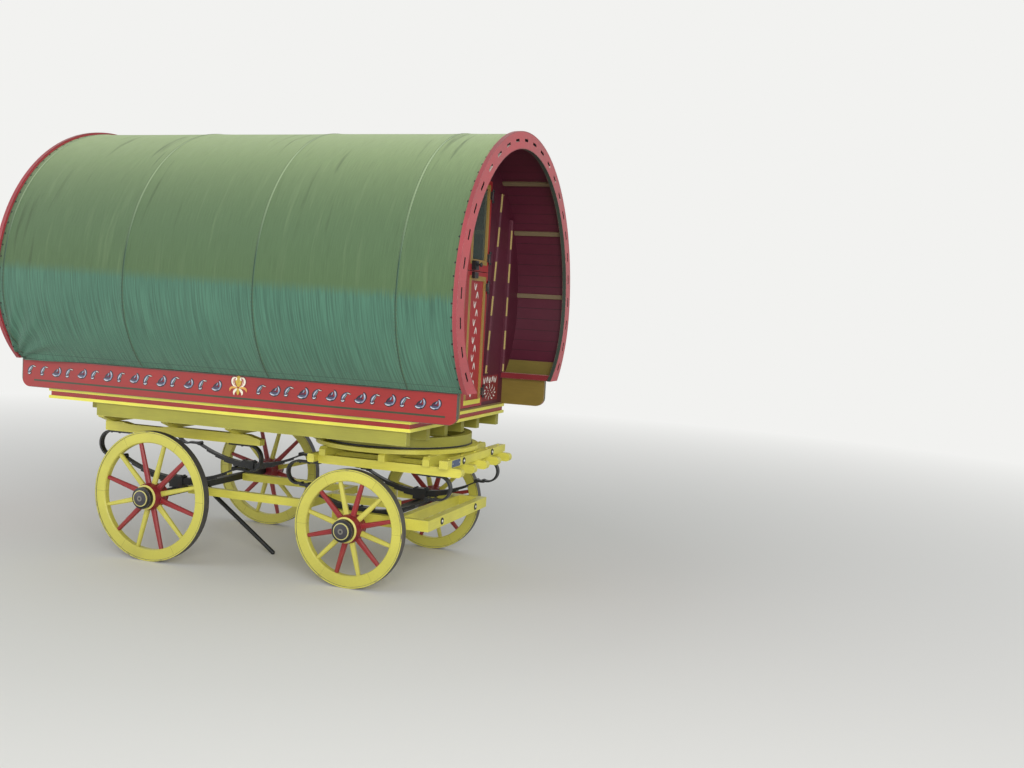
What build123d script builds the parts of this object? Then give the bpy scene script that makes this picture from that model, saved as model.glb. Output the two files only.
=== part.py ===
"""Barrel-top living wagon: arched canvas body on a sprung four-wheel dray. Millimetres.

X runs forward along the wagon, Y to its left, Z up. The origin is on the ground, under the
middle of the wagon's length and width.
"""
import math
import os

from build123d import *

# Wheels, naves and axles; outward sizes of a nave are taken from the face of the rim
rear_wheel_r = 482.5
front_wheel_r = 418
wheel_base = 1603
rear_axle_x = -722
rear_rim_face_y = 832
front_rim_face_y = 757
tyre_thick = 12
tyre_wide = 60
felloe_deep = 74
felloe_wide = 54
felloe_bevel = 7
spoke_count = 12
spoke_root_wide = 40
spoke_tip_wide = 27
spoke_thick = 30
spoke_bevel = 7
spoke_tenon = 12
nave_r = 100
nave_front_r = 91
nave_back_r = 84
nave_band_r = 80
nave_cap_r = 59
nave_tip_r = 22
nave_nose_out = 104
nave_band_out = 48
nave_front_out = 42
nave_belly_out = 8
nave_belly_in = 58
nave_taper_in = 100
nave_back_in = 122
nave_wall = 30
cap_high = 10
cap_bevel = 7
cap_to_band = 4
arm_r = 25
arm_gap = 0.5
arm_end_gap = 2
axle_square = 50
axle_shoulder = 10

# Arched body, from the outside inwards
arch_r = 1241
arch_centre_z = 2018
arch_foot_y = 1000
foot_overcut = 5
body_half_length = 1813
crown_thick = 30
crown_wide = 122
rear_arch_wide = 96
slot_count = 26
slot_long = 74
slot_wide = 20
canvas_inset = 16
canvas_thick = 8
canvas_gap = 0.4
hem_up = 6
bow_up = 10
bow_deep = 14
bow_wide = 48
bow_count = 7
lining_thick = 12
stringer_thick = 16
stringer_wide = 34
stringer_angles = (5, 31, 55)

# Bed
bed_half_width = 906
bed_bottom_z = 1152
bed_high = 88
bed_rear_in = 247
bed_front_in = 430
deck_thick = 24
moulding_out = 12
moulding_high = 22
frame_wide = 52
side_board_thick = 45
side_board_rear_in = 12
side_board_front_in = 78
side_board_bottom_z = 1228
side_board_top_z = 1441
side_board_corner_r = 70
plate_high = 44
plate_wide = 60
plate_gap = 0.5
joist_wide = 58
joist_high = 95
joist_ys = (-484, -161, 161, 484)
joist_end_in = 45
sill_y = 866
sill_wide = 60
sill_high = 97
sill_rear_in = 412
sill_front_in = 25
bearer_offsets = (-607, -29, 531)
bearer_wide = 58
bearer_half = 640
bearer_end_rise = 42
bearer_end_run = 110

# Front and rear walls, doors and window
wall_thick = 25
wall_back = 11
rear_wall_in = 25
post_deep = 28
post_wide = 56
post_bevel = 10
post_foot_up = 6
inner_post_foot_y = 474
inner_post_head_y = 640
inner_post_head_z = 2900
outer_post_foot_y = 868
outer_post_head_y = 908
outer_post_head_z = 2720
door_half_width = 415
door_gap = 5
door_thick = 30
door_up = 6
door_split_z = 2268
door_top_z = 2966
door_stile = 58
door_foot_rail = 46
door_lock_rail = 76
door_meeting_gap = 4
door_panel_thick = 12
glass_thick = 5
bead_wide = 9
bead_proud = 3
hinge_r = 7
hinge_out = 8
hinge_long = 60
hinge_knuckle = 20
hinge_strap = 46
hinge_plate = 24
hinge_gap = 0.3
hinge_edge_in = 1
hinge_plate_gap = 1
hinge_inset = 110
latch_y = 66
latch_wide = 74
latch_high = 68
latch_deep = 30
latch_round = 8
latch_drop = 5
keeper_high = 52
window_half = 250
window_bottom_z = 1950
window_top_z = 2500
sash_bar = 45

# Springs and scroll irons, sizes shared by both axles
spring_y = 485
spring_wide = 50
leaf_thick = 10
leaf_count = 5
leaf_last = 0.6
eye_r = 17
seat_high = 24
clip_half = 58
clip_over = 14
clip_side = 8
scroll_thick = 14
scroll_wide = 44
scroll_foot_long = 190
scroll_link_extra = 4
scroll_hook_back = 0.42
scroll_lip = 12
scroll_foot_lean = 0.1
scroll_hook_lean = 0.46

# Rear carriage; places along X are taken from the rear axle
rear_spring_half = 500
rear_eye_z = 700
rear_scroll_out = 627
rear_scroll_r = 104
beam_rear_out = 665
beam_front_out = 726
beam_bottom_z = 892
beam_high = 74
beam_tip_high = 45
beam_tip_long = 114
beam_waist = 13
beam_waist_rear = -507
beam_waist_front = -87
beam_waist_ramp = 65
beam_wide = 62
reach_y = 372
reach_wide = 45
reach_over_axle = 4
reach_high = 60
reach_pole_half = 36
reach_head_r = 48

# Fore-carriage; places along X are taken from the front axle
front_spring_half = 475
front_eye_z = 640
front_scroll_out = 562
front_scroll_r = 90
reach_front_out = -520
long_bar_pitch = 250
long_bar_count = 5
long_bar_wide = 58
long_bar_rear_out = -376
long_bar_front_out = 738
long_bar_bottom_z = 818
long_bar_high = 62
long_bar_nose_r = 27
rear_cross_out = -402
rear_cross_half = 600
rear_cross_wide = 52
rear_cross_up = 12
rear_cross_bevel = 8
cross_bar_outs = (-333, 138, 480)
cross_bar_wide = 50
cross_bar_high = 65
cross_bar_half = 560
cross_bar_end = 20
splinter_out = 626
splinter_wide = 63
splinter_high = 56
splinter_half = 590
splinter_hole_y = 290
ring_r = 610
ring_wide = 58
ring_thick = 30
ring_gap = 0.6
iron_ring_in = 46
iron_ring_wide = 48
iron_ring_thick = 12
turn_ring_in = 52
turn_ring_wide = 56
bolster_half = 560
bolster_wide = 92
bolster_bevel = 18
fore_bearer_out = -369
kingpin_r = 18
kingpin_gap = 0.4
kingpin_below = 20
axle_boss = 11
hound_y = 548
hound_wide = 50
lower_frame_bottom_z = 425
lower_frame_high = 78
lower_front_out = 529
lower_front_wide = 58
lower_rear_out = -225
lower_brace_out = 290
lower_brace_wide = 52
lower_hole_y = 330
pin_hole_r = 9
washer_r = 25
washer_thick = 4

# Prop pole hung from two ears on the rear axle
sprag_r = 17
sprag_y = -170
sprag_ahead = 62
sprag_below = 40
sprag_slope = 35.4
sprag_pin_r = 9
sprag_pin_gap = 0.4
sprag_eye_r = 24
sprag_clear = 6
ear_thick = 9
ear_r = 21

front_axle_x = rear_axle_x + wheel_base
end_x = body_half_length - crown_thick
canvas_r = arch_r - canvas_inset
bow_r = canvas_r - canvas_thick - canvas_gap
lining_r = bow_r - bow_deep
room_r = lining_r - lining_thick
arch_foot_drop = arch_centre_z - side_board_top_z
# The foot arcs are centred this far out from the middle, so that they meet the top arc smoothly
# and come down at arch_foot_y on the side board.
arch_foot_shift = (arch_r**2 - arch_foot_drop**2 - arch_foot_y**2) / (2 * (arch_r - arch_foot_y))
bed_rear_x = bed_rear_in - body_half_length
bed_front_x = body_half_length - bed_front_in
bed_top_z = bed_bottom_z + bed_high
deck_bottom_z = bed_top_z - deck_thick
board_out_y = bed_half_width + side_board_thick
plate_top_z = side_board_top_z + plate_high
joist_bottom_z = bed_bottom_z - joist_high
beam_top_z = beam_bottom_z + beam_high
wall_front_x = bed_front_x - wall_back
rear_wall_x = bed_rear_x + rear_wall_in
door_bottom_z = bed_top_z + door_up
upper_door_z = door_split_z + door_gap
hinge_x = bed_front_x + hinge_out
hinge_y = door_half_width - hinge_edge_in
hinge_zs = (door_bottom_z + hinge_inset, door_split_z - hinge_inset,
            upper_door_z + hinge_inset, door_top_z - hinge_inset)
long_bar_top_z = long_bar_bottom_z + long_bar_high
ring_bottom_z = long_bar_top_z + cross_bar_high
iron_bottom_z = ring_bottom_z + ring_thick + ring_gap
turn_bottom_z = iron_bottom_z + iron_ring_thick
reach_bottom_z = front_wheel_r + axle_square / 2 + reach_over_axle
lower_front_x = front_axle_x + lower_front_out
sprag_pivot_x = rear_axle_x + sprag_ahead
sprag_pivot_z = rear_wheel_r - sprag_below


def save(name, *solids):
    """Write one node, made of one or more separate solids, to parts/NAME.step."""
    os.makedirs("parts", exist_ok=True)
    shape = solids[0] if len(solids) == 1 else Compound(children=list(solids))
    export_step(shape, f"parts/{name}.step")


def box(x0, x1, y0, y1, z0, z1):
    """Square timber between three pairs of faces."""
    middle = Pos((x0 + x1) / 2, (y0 + y1) / 2, (z0 + z1) / 2)
    return middle * Box(abs(x1 - x0), abs(y1 - y0), abs(z1 - z0))


def bar_across(x, wide, half, z0, z1):
    """Timber across the wagon, centred on the place x."""
    return box(x - wide / 2, x + wide / 2, -half, half, z0, z1)


def disc(x, y, z0, z1, radius):
    """Upright cylinder between two heights."""
    return Pos(x, y, (z0 + z1) / 2) * Cylinder(radius, z1 - z0)


def ring(x, z0, thick, outer, wide):
    """Flat ring that lies level on the wagon's centre line."""
    return disc(x, 0, z0, z0 + thick, outer) - disc(x, 0, z0, z0 + thick, outer - wide)


def pin_along_y(x, y, z, radius, long):
    """Round pin or bore along Y, centred on its middle."""
    return Pos(x, y, z) * Rot(90, 0, 0) * Cylinder(radius, long)


def bevelled(solid, axis, size):
    """Chamfer every edge that runs along one axis."""
    return chamfer(solid.edges().filter_by(axis), size)


def prism_y(face, y0, y1):
    """Extrude a face drawn in X and Z from the Y plane y0 up to y1."""
    plane = Plane((0, y1, 0), x_dir=(1, 0, 0), z_dir=(0, -1, 0))
    return extrude(plane * face, amount=y1 - y0)


def both_sides(piece):
    """The same piece on the right and on the left of the wagon."""
    return [piece, mirror(piece, about=Plane.XZ)]


def arch_half(radius, z):
    """Half the inside width of an arch of this radius, at a height below its centre."""
    foot_r = radius - arch_foot_shift
    return arch_foot_shift + math.sqrt(foot_r**2 - (arch_centre_z - z)**2)


def arch_face(radius, foot_z):
    """Horseshoe outline: a half circle on tighter foot arcs, closed along its foot."""
    foot_r = radius - arch_foot_shift
    foot_y = arch_half(radius, foot_z)
    half = math.asin((arch_centre_z - foot_z) / foot_r) / 2
    mid_y = arch_foot_shift + foot_r * math.cos(half)
    mid_z = arch_centre_z - foot_r * math.sin(half)
    crown = (0, arch_centre_z + radius)
    right = ThreePointArc((foot_y, foot_z), (mid_y, mid_z), (radius, arch_centre_z))
    top = ThreePointArc((radius, arch_centre_z), crown, (-radius, arch_centre_z))
    left = ThreePointArc((-radius, arch_centre_z), (-mid_y, mid_z), (-foot_y, foot_z))
    return make_face([right, top, left, Line((-foot_y, foot_z), (foot_y, foot_z))])


def arch_band(outer, thick, foot_z):
    """Flat arched band of one width, open at its foot."""
    return arch_face(outer, foot_z) - arch_face(outer - thick, foot_z - foot_overcut)


def along_x(face, x0, x1):
    """Extrude a face drawn in Y and Z between two X planes."""
    return extrude(Plane.YZ.offset(x0) * face, amount=x1 - x0)


def crown_slots():
    """Slots spaced evenly along the middle of the crown board, as flat rectangles."""
    middle_r = arch_r - crown_wide / 2
    foot_r = middle_r - arch_foot_shift
    top_long = middle_r * math.pi / 2
    foot_long = foot_r * math.asin(arch_foot_drop / (arch_r - arch_foot_shift))
    pitch = 2 * (top_long + foot_long) / slot_count
    slots = []
    for n in range(slot_count // 2):
        run = (n + 0.5) * pitch
        if run < top_long:
            turn = math.pi / 2 - run / middle_r
            centre_y, radius = 0, middle_r
        else:
            turn = (top_long - run) / foot_r
            centre_y, radius = arch_foot_shift, foot_r
        y = centre_y + radius * math.cos(turn)
        z = arch_centre_z + radius * math.sin(turn)
        for side in (-1, 1):
            tilt = side * (math.degrees(turn) + 90)
            slots.append(Pos(side * y, z) * Rot(0, 0, tilt) * Rectangle(slot_long, slot_wide))
    return slots


def barrel():
    """Canvas, bows and boarding of the barrel, and the flat boards at its two ends."""
    foot = side_board_top_z
    cover = arch_band(canvas_r, canvas_thick, foot + hem_up)
    save("canvas_cover", along_x(cover, canvas_gap - end_x, end_x - canvas_gap))
    bow = arch_band(bow_r, bow_deep, foot + bow_up)
    step = (2 * end_x - bow_wide) / (bow_count - 1)
    rear_edges = [n * step - end_x for n in range(bow_count)]
    save("bows", *[along_x(bow, x, x + bow_wide) for x in rear_edges])
    save("lining", along_x(arch_band(lining_r, lining_thick, foot), -end_x, end_x))
    crown = arch_band(arch_r, crown_wide, foot)
    for slot in crown_slots():
        crown -= slot
    save("crown_board", along_x(crown, end_x, body_half_length))
    save("rear_arch_board", along_x(arch_band(arch_r, rear_arch_wide, foot), -body_half_length, -end_x))


def stringers():
    """Battens along the inside of the boarding, in three lengths between the end walls."""
    band = arch_face(room_r, plate_top_z) - arch_face(room_r - stringer_thick, side_board_top_z)
    room_rear_x, room_front_x = rear_wall_x + wall_thick, wall_front_x - wall_thick
    spans = ((-end_x, rear_wall_x), (room_rear_x, room_front_x), (wall_front_x, end_x))
    battens = []
    for x0, x1 in spans:
        hoop = along_x(band, x0, x1)
        for angle in stringer_angles:
            for turn in (angle, 180 - angle):
                strip = box(x0, x1, 0, 2 * room_r, -stringer_wide / 2, stringer_wide / 2)
                battens.append(hoop & (Pos(0, 0, arch_centre_z) * Rot(turn, 0, 0) * strip))
    save("stringers", *battens)


def cross_bearer(x, z0, z1):
    """Cross timber whose underside rises towards its ends."""
    half, run = bearer_half, bearer_half - bearer_end_run
    end_z = z0 + bearer_end_rise
    outline = ((-run, z0), (run, z0), (half, end_z), (half, z1), (-half, z1), (-half, end_z))
    return along_x(make_face(Polyline(*outline, close=True)), x - bearer_wide / 2, x + bearer_wide / 2)


def bed():
    """Floor, frame, mouldings, side boards, joists, sills and cross bearers."""
    half = bed_half_width
    save("floor_deck", box(bed_rear_x, bed_front_x, -half, half, deck_bottom_z, bed_top_z))
    rim = box(bed_rear_x, bed_front_x, -half, half, bed_bottom_z, deck_bottom_z)
    inner = half - frame_wide
    rim -= box(bed_rear_x + frame_wide, bed_front_x - frame_wide, -inner, inner, bed_bottom_z, deck_bottom_z)
    save("bed_frame", rim)
    mouldings = []
    for z0 in (bed_bottom_z, side_board_bottom_z - moulding_high):
        z1 = z0 + moulding_high
        out = moulding_out
        strip = box(bed_rear_x - out, bed_front_x + out, -half - out, half + out, z0, z1)
        mouldings.append(strip - box(bed_rear_x, bed_front_x, -half, half, z0, z1))
    save("bed_mouldings", *mouldings)

    board = box(side_board_rear_in - body_half_length, body_half_length - side_board_front_in,
                -board_out_y, -half, side_board_bottom_z, side_board_top_z)
    lower_corners = board.edges().filter_by(Axis.Y).group_by(Axis.Z)[0]
    save("side_boards", *both_sides(fillet(lower_corners, side_board_corner_r)))
    plate_out = arch_half(room_r, side_board_top_z) - plate_gap
    plate = box(-end_x, end_x, -plate_out, plate_wide - plate_out, side_board_top_z, plate_top_z)
    save("wall_plates", *both_sides(plate))

    joist_x0, joist_x1 = bed_rear_x + joist_end_in, bed_front_x - joist_end_in
    half = joist_wide / 2
    save("joists", *[box(joist_x0, joist_x1, y - half, y + half, joist_bottom_z, bed_bottom_z)
                     for y in joist_ys])
    sill = box(bed_rear_x + sill_rear_in, bed_front_x - sill_front_in, -sill_y - sill_wide / 2,
               sill_wide / 2 - sill_y, bed_bottom_z - sill_high, bed_bottom_z)
    save("sills", *both_sides(sill))
    bearer_xs = [rear_axle_x + out for out in bearer_offsets]
    save("cross_bearers", *[cross_bearer(x, beam_top_z, joist_bottom_z) for x in bearer_xs])


def wall_blank(x0):
    """End wall that fills the barrel inside its boarding, from the floor up."""
    plate_in_y = arch_half(room_r, side_board_top_z) - plate_gap - plate_wide
    face = arch_face(room_r, plate_top_z)
    # columns: half width, foot z, head z
    table = ((plate_in_y, side_board_top_z, plate_top_z),
             (bed_half_width, bed_top_z, side_board_top_z))
    for half, z0, z1 in table:
        face += Pos(0, (z0 + z1) / 2) * Rectangle(2 * half, z1 - z0)
    return along_x(face, x0, x0 + wall_thick)


def front_wall():
    """Front wall with its doorway and hinge plates, and the chamfered posts on its face."""
    half = door_half_width + door_gap
    doorway = box(wall_front_x - wall_thick, wall_front_x, -half, half, bed_top_z, door_top_z + door_gap)
    wall = wall_blank(wall_front_x - wall_thick) - doorway
    reach = hinge_long / 2 + hinge_gap + hinge_knuckle
    plate_in, plate_out = hinge_y + hinge_r + hinge_plate_gap, hinge_y + hinge_plate
    for z in hinge_zs:
        plate = box(wall_front_x, hinge_x, plate_in, plate_out, z - reach, z + reach)
        for z0 in (z - reach, z + reach - hinge_knuckle):
            z1 = z0 + hinge_knuckle
            plate += disc(hinge_x, hinge_y, z0, z1, hinge_r)
            plate += box(hinge_x - hinge_r, hinge_x + hinge_r, hinge_y, plate_out, z0, z1)
        wall = wall + plate + mirror(plate, about=Plane.XZ)
    save("front_wall", wall)
    posts = []
    foot_z = plate_top_z + post_foot_up
    half = post_wide / 2
    # columns: foot y, head y, head z
    for foot_y, head_y, head_z in ((inner_post_foot_y, inner_post_head_y, inner_post_head_z),
                                   (outer_post_foot_y, outer_post_head_y, outer_post_head_z)):
        foot = ((foot_y - half, foot_z), (foot_y + half, foot_z))
        head = ((head_y + half, head_z), (head_y - half, head_z))
        face = make_face(Polyline(*foot, *head, close=True))
        post = along_x(face, wall_front_x, wall_front_x + post_deep)
        posts.append(chamfer(post.faces().sort_by(Axis.X)[-1].edges(), post_bevel))
    save("front_posts", *posts, *[mirror(post, about=Plane.XZ) for post in posts])


def rear_wall():
    """Rear wall with a two-light window."""
    x0 = rear_wall_x
    x1 = x0 + wall_thick
    mid = (x0 + x1) / 2
    foot, head = window_bottom_z + sash_bar, window_top_z - sash_bar
    hole = box(x0, x1, -window_half, window_half, window_bottom_z, window_top_z)
    save("rear_wall", wall_blank(x0) - hole)
    sash = hole
    panes = []
    for y0, y1 in ((sash_bar - window_half, -sash_bar / 2), (sash_bar / 2, window_half - sash_bar)):
        sash -= box(x0, x1, y0, y1, foot, head)
        panes.append(box(mid - glass_thick / 2, mid + glass_thick / 2, y0, y1, foot, head))
    save("rear_window_sash", sash)
    save("rear_window_glass", *panes)


def doors():
    """Two pairs of half doors: panelled below, glazed above, hinged on the outer stiles."""
    x1 = bed_front_x
    x0 = x1 - door_thick
    mid = (x0 + x1) / 2
    y0, y1 = door_meeting_gap, door_half_width
    keeper_z0, keeper_z1 = door_split_z - keeper_high, door_split_z - door_gap
    # columns: level, foot z, head z, foot rail, thickness of the filling
    table = (("lower", door_bottom_z, door_split_z, door_foot_rail, door_panel_thick),
             ("upper", upper_door_z, door_top_z, door_lock_rail, glass_thick))
    for level, z0, z1, rail, thick in table:
        left, right = y0 + door_stile, y1 - door_stile
        foot, head = z0 + rail, z1 - door_stile
        wood = box(x0, x1, y0, y1, z0, z1) - box(x0, x1, left, right, foot, head)
        bead = box(mid + thick / 2, x1 + bead_proud, left, right, foot, head)
        bead -= box(mid + thick / 2, x1 + bead_proud, left + bead_wide, right - bead_wide,
                    foot + bead_wide, head - bead_wide)
        wood += bead
        for z in (z0 + hinge_inset, z1 - hinge_inset):
            wood += disc(hinge_x, hinge_y, z - hinge_long / 2, z + hinge_long / 2, hinge_r)
            wood += box(x1, hinge_x, y1 - hinge_strap, hinge_y, z - hinge_long / 2, z + hinge_long / 2)
        fill = box(mid - thick / 2, mid + thick / 2, left, right, foot, head)
        if level == "lower":
            wood += fill
        panes = both_sides(fill)
        leaves = both_sides(wood)
        if level == "lower":
            # The lock's keeper is on the left leaf alone, under the lock on the leaf above.
            keeper = box(x1, x1 + latch_deep, latch_y, latch_y + latch_wide, keeper_z0, keeper_z1)
            leaves[0] = wood + fillet(keeper.edges().filter_by(Axis.X), latch_round)
        for side, leaf, pane in (("left", leaves[0], panes[0]), ("right", leaves[1], panes[1])):
            save(f"door_{level}_{side}", leaf)
            if level == "upper":
                save(f"door_glass_{side}", pane)
    lock_z = upper_door_z + latch_drop
    latch = box(x1, x1 + latch_deep, latch_y, latch_y + latch_wide, lock_z, lock_z + latch_high)
    save("door_latch", fillet(latch.edges().filter_by(Axis.X), latch_round))


def leaf_spring(x_mid, half, eye_z, axle_z):
    """Stack of arched leaves, longest on top, with rolled eyes and the clip on the axle."""
    low_z = axle_z + axle_square / 2 + seat_high
    top_z = low_z + leaf_count * leaf_thick
    sag = eye_z - top_z
    radius = (half**2 + sag**2) / (2 * sag)
    far = 2 * radius
    leaves = []
    for n in range(leaf_count):
        sine = half * (1 - n / (leaf_count + leaf_last)) / radius
        wedge_y = -far * math.sqrt(1 - sine**2)
        wedge = make_face(Polyline((0, 0), (-far * sine, wedge_y), (far * sine, wedge_y), close=True))
        leaves.append((Circle(radius + (n + 1) * leaf_thick) - Circle(radius + n * leaf_thick)) & wedge)
    stack = leaves[0]
    for leaf in leaves[1:]:
        stack += leaf
    stack = Pos(x_mid, top_z + radius) * stack
    for side in (-1, 1):
        stack += Pos(x_mid + side * half, eye_z) * Circle(eye_r)
    y0, y1 = -spring_y - spring_wide / 2, spring_wide / 2 - spring_y
    clip = box(x_mid - clip_half, x_mid + clip_half, y0 - clip_side, y1 + clip_side,
               axle_z + axle_square / 2, top_z + clip_over)
    return prism_y(stack, y0, y1) + clip


def scroll_iron(x_mid, side, out, radius, eye_half, eye_z, top_z):
    """C-shaped iron from under the beam above, round to the spring's eye."""
    z_mid = top_z - radius
    far = 3 * radius
    hook_x = scroll_thick - scroll_hook_back * radius
    # The ring is open towards the axle, between the foot above and the hook below.
    above = ((-scroll_foot_lean * far, far), (-far, far))
    below = ((-far, -far), (-scroll_hook_lean * far, -far))
    gap = make_face(Polyline((0, 0), *above, *below, close=True))
    hoop = (Circle(radius) - Circle(radius - scroll_thick)) - gap
    foot = Pos(scroll_thick - scroll_foot_long / 2, radius - scroll_thick / 2)
    shape = hoop + foot * Rectangle(scroll_foot_long, scroll_thick)
    eye_x = eye_half - out + eye_r
    link_z = eye_z - z_mid
    shape += Pos((eye_x + hook_x) / 2, link_z) * Rectangle(hook_x - eye_x, scroll_thick + scroll_link_extra)
    hook_z = scroll_thick - radius
    hook_high = abs(link_z - hook_z) + scroll_lip
    shape += Pos(hook_x - scroll_thick / 2, (link_z + hook_z) / 2) * Rectangle(scroll_thick, hook_high)
    solid = prism_y(shape, -scroll_wide / 2, scroll_wide / 2)
    if side < 0:
        solid = mirror(solid, about=Plane.YZ)
    return Pos(x_mid + side * out, -spring_y, z_mid) * solid


def scroll_set(x_mid, out, radius, eye_half, eye_z, top_z):
    """Four scroll irons of one axle."""
    right = [scroll_iron(x_mid, side, out, radius, eye_half, eye_z, top_z) for side in (-1, 1)]
    return right + [mirror(iron, about=Plane.XZ) for iron in right]


def axle(x, z, face_y):
    """Square axle bed with a round arm at each end."""
    half = face_y - nave_back_in - axle_shoulder
    body = bar_across(x, axle_square, half, z - axle_square / 2, z + axle_square / 2)
    arm_half = face_y + nave_nose_out - nave_wall - arm_end_gap
    return body + pin_along_y(x, 0, z, arm_r, 2 * arm_half)


def sprag_ears():
    """Two ears in front of the rear axle, with the pin that the prop pole hangs on."""
    x, z = sprag_pivot_x, sprag_pivot_z
    low, high = rear_wheel_r - axle_square / 2, rear_wheel_r + axle_square / 2
    corners = ((rear_axle_x, low), (x, z - ear_r), (x, z + ear_r), (rear_axle_x, high))
    outline = make_face(Polyline(*corners, close=True)) + Pos(x, z) * Circle(ear_r)
    inner = sprag_r + sprag_clear
    ears = prism_y(outline, sprag_y - inner - ear_thick, sprag_y + inner + ear_thick)
    ears -= prism_y(outline, sprag_y - inner, sprag_y + inner) & box(
        rear_axle_x + axle_square / 2, x + 2 * ear_r, sprag_y - inner, sprag_y + inner, 0, beam_bottom_z)
    return ears + pin_along_y(x, sprag_y, z, sprag_pin_r, 2 * (inner + ear_thick))


def rear_carriage():
    """Side beams, springs, scroll irons, axle and reach of the rear wheels."""
    x, z = rear_axle_x, rear_wheel_r
    top, low = beam_top_z, beam_bottom_z
    rear, front = x - beam_rear_out, x + beam_front_out
    waist_rear, waist_front = x + beam_waist_rear, x + beam_waist_front
    waist_z = top - beam_waist
    outline = ((rear, low), (front, low), (front, low + beam_tip_high), (front - beam_tip_long, top),
               (waist_front, top), (waist_front - beam_waist_ramp, waist_z),
               (waist_rear + beam_waist_ramp, waist_z), (waist_rear, top), (rear, top))
    face = make_face(Polyline(*outline, close=True))
    beam = prism_y(face, -spring_y - beam_wide / 2, beam_wide / 2 - spring_y)
    save("rear_side_beams", *both_sides(beam))
    save("rear_springs", *both_sides(leaf_spring(x, rear_spring_half, rear_eye_z, z)))
    irons = scroll_set(x, rear_scroll_out, rear_scroll_r, rear_spring_half, rear_eye_z, low)
    save("rear_scroll_irons", *irons)
    save("rear_axle", axle(x, z, rear_rim_face_y) + sprag_ears())

    z0, z1 = reach_bottom_z, reach_bottom_z + reach_high
    start = x + axle_square / 2
    front = front_axle_x + reach_front_out
    out_y = reach_y + reach_wide / 2
    reach = box(front - reach_wide, front, -out_y, out_y, z0, z1)
    for y in (-reach_y, reach_y):
        reach += box(start, front, y - reach_wide / 2, y + reach_wide / 2, z0, z1)
    reach += box(front, front_axle_x, -reach_pole_half, reach_pole_half, z0, z1)
    reach += disc(front_axle_x, 0, z0, z1, reach_head_r)
    reach += disc(front_axle_x, 0, front_wheel_r - axle_square / 2, z0, kingpin_r)
    save("reach", reach)


def sprag():
    """Prop pole that hangs from the ears' pin and rests its foot on the ground."""
    drop = sprag_pivot_z - sprag_r
    long = drop / math.sin(math.radians(sprag_slope))
    pole = Rot(90, 0, 0) * Cylinder(sprag_eye_r, 2 * sprag_r)
    pole += Pos(long / 2, 0, 0) * Rot(0, 90, 0) * Cylinder(sprag_r, long)
    pole += Pos(long, 0, 0) * Sphere(sprag_r)
    pole -= Rot(90, 0, 0) * Cylinder(sprag_pin_r + sprag_pin_gap, 3 * sprag_r)
    save("sprag_pole", Pos(sprag_pivot_x, sprag_y, sprag_pivot_z) * Rot(0, sprag_slope, 0) * pole)


def turntable():
    """Upper ring, bolster and kingpin on the body, and the ring they turn on."""
    x = front_axle_x
    z0, z1 = turn_bottom_z, joist_bottom_z
    plate = ring(x, z0, z1 - z0, ring_r - turn_ring_in, turn_ring_wide)
    bolster = bar_across(x, bolster_wide, bolster_half, z0, z1)
    ends = [edge for face in bolster.faces().filter_by(Axis.Y) for edge in face.edges()]
    plate += chamfer(ends, bolster_bevel)
    plate += cross_bearer(x + fore_bearer_out, z0, z1)
    plate -= disc(x, 0, z0, z1, kingpin_r)
    save("turntable_upper", plate)
    save("turntable_iron", ring(x, iron_bottom_z, iron_ring_thick, ring_r - iron_ring_in, iron_ring_wide))
    save("kingpin", disc(x, 0, long_bar_bottom_z - kingpin_below, joist_bottom_z, kingpin_r))
    save("turntable_lower", ring(x, ring_bottom_z, ring_thick, ring_r, ring_wide))


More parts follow.
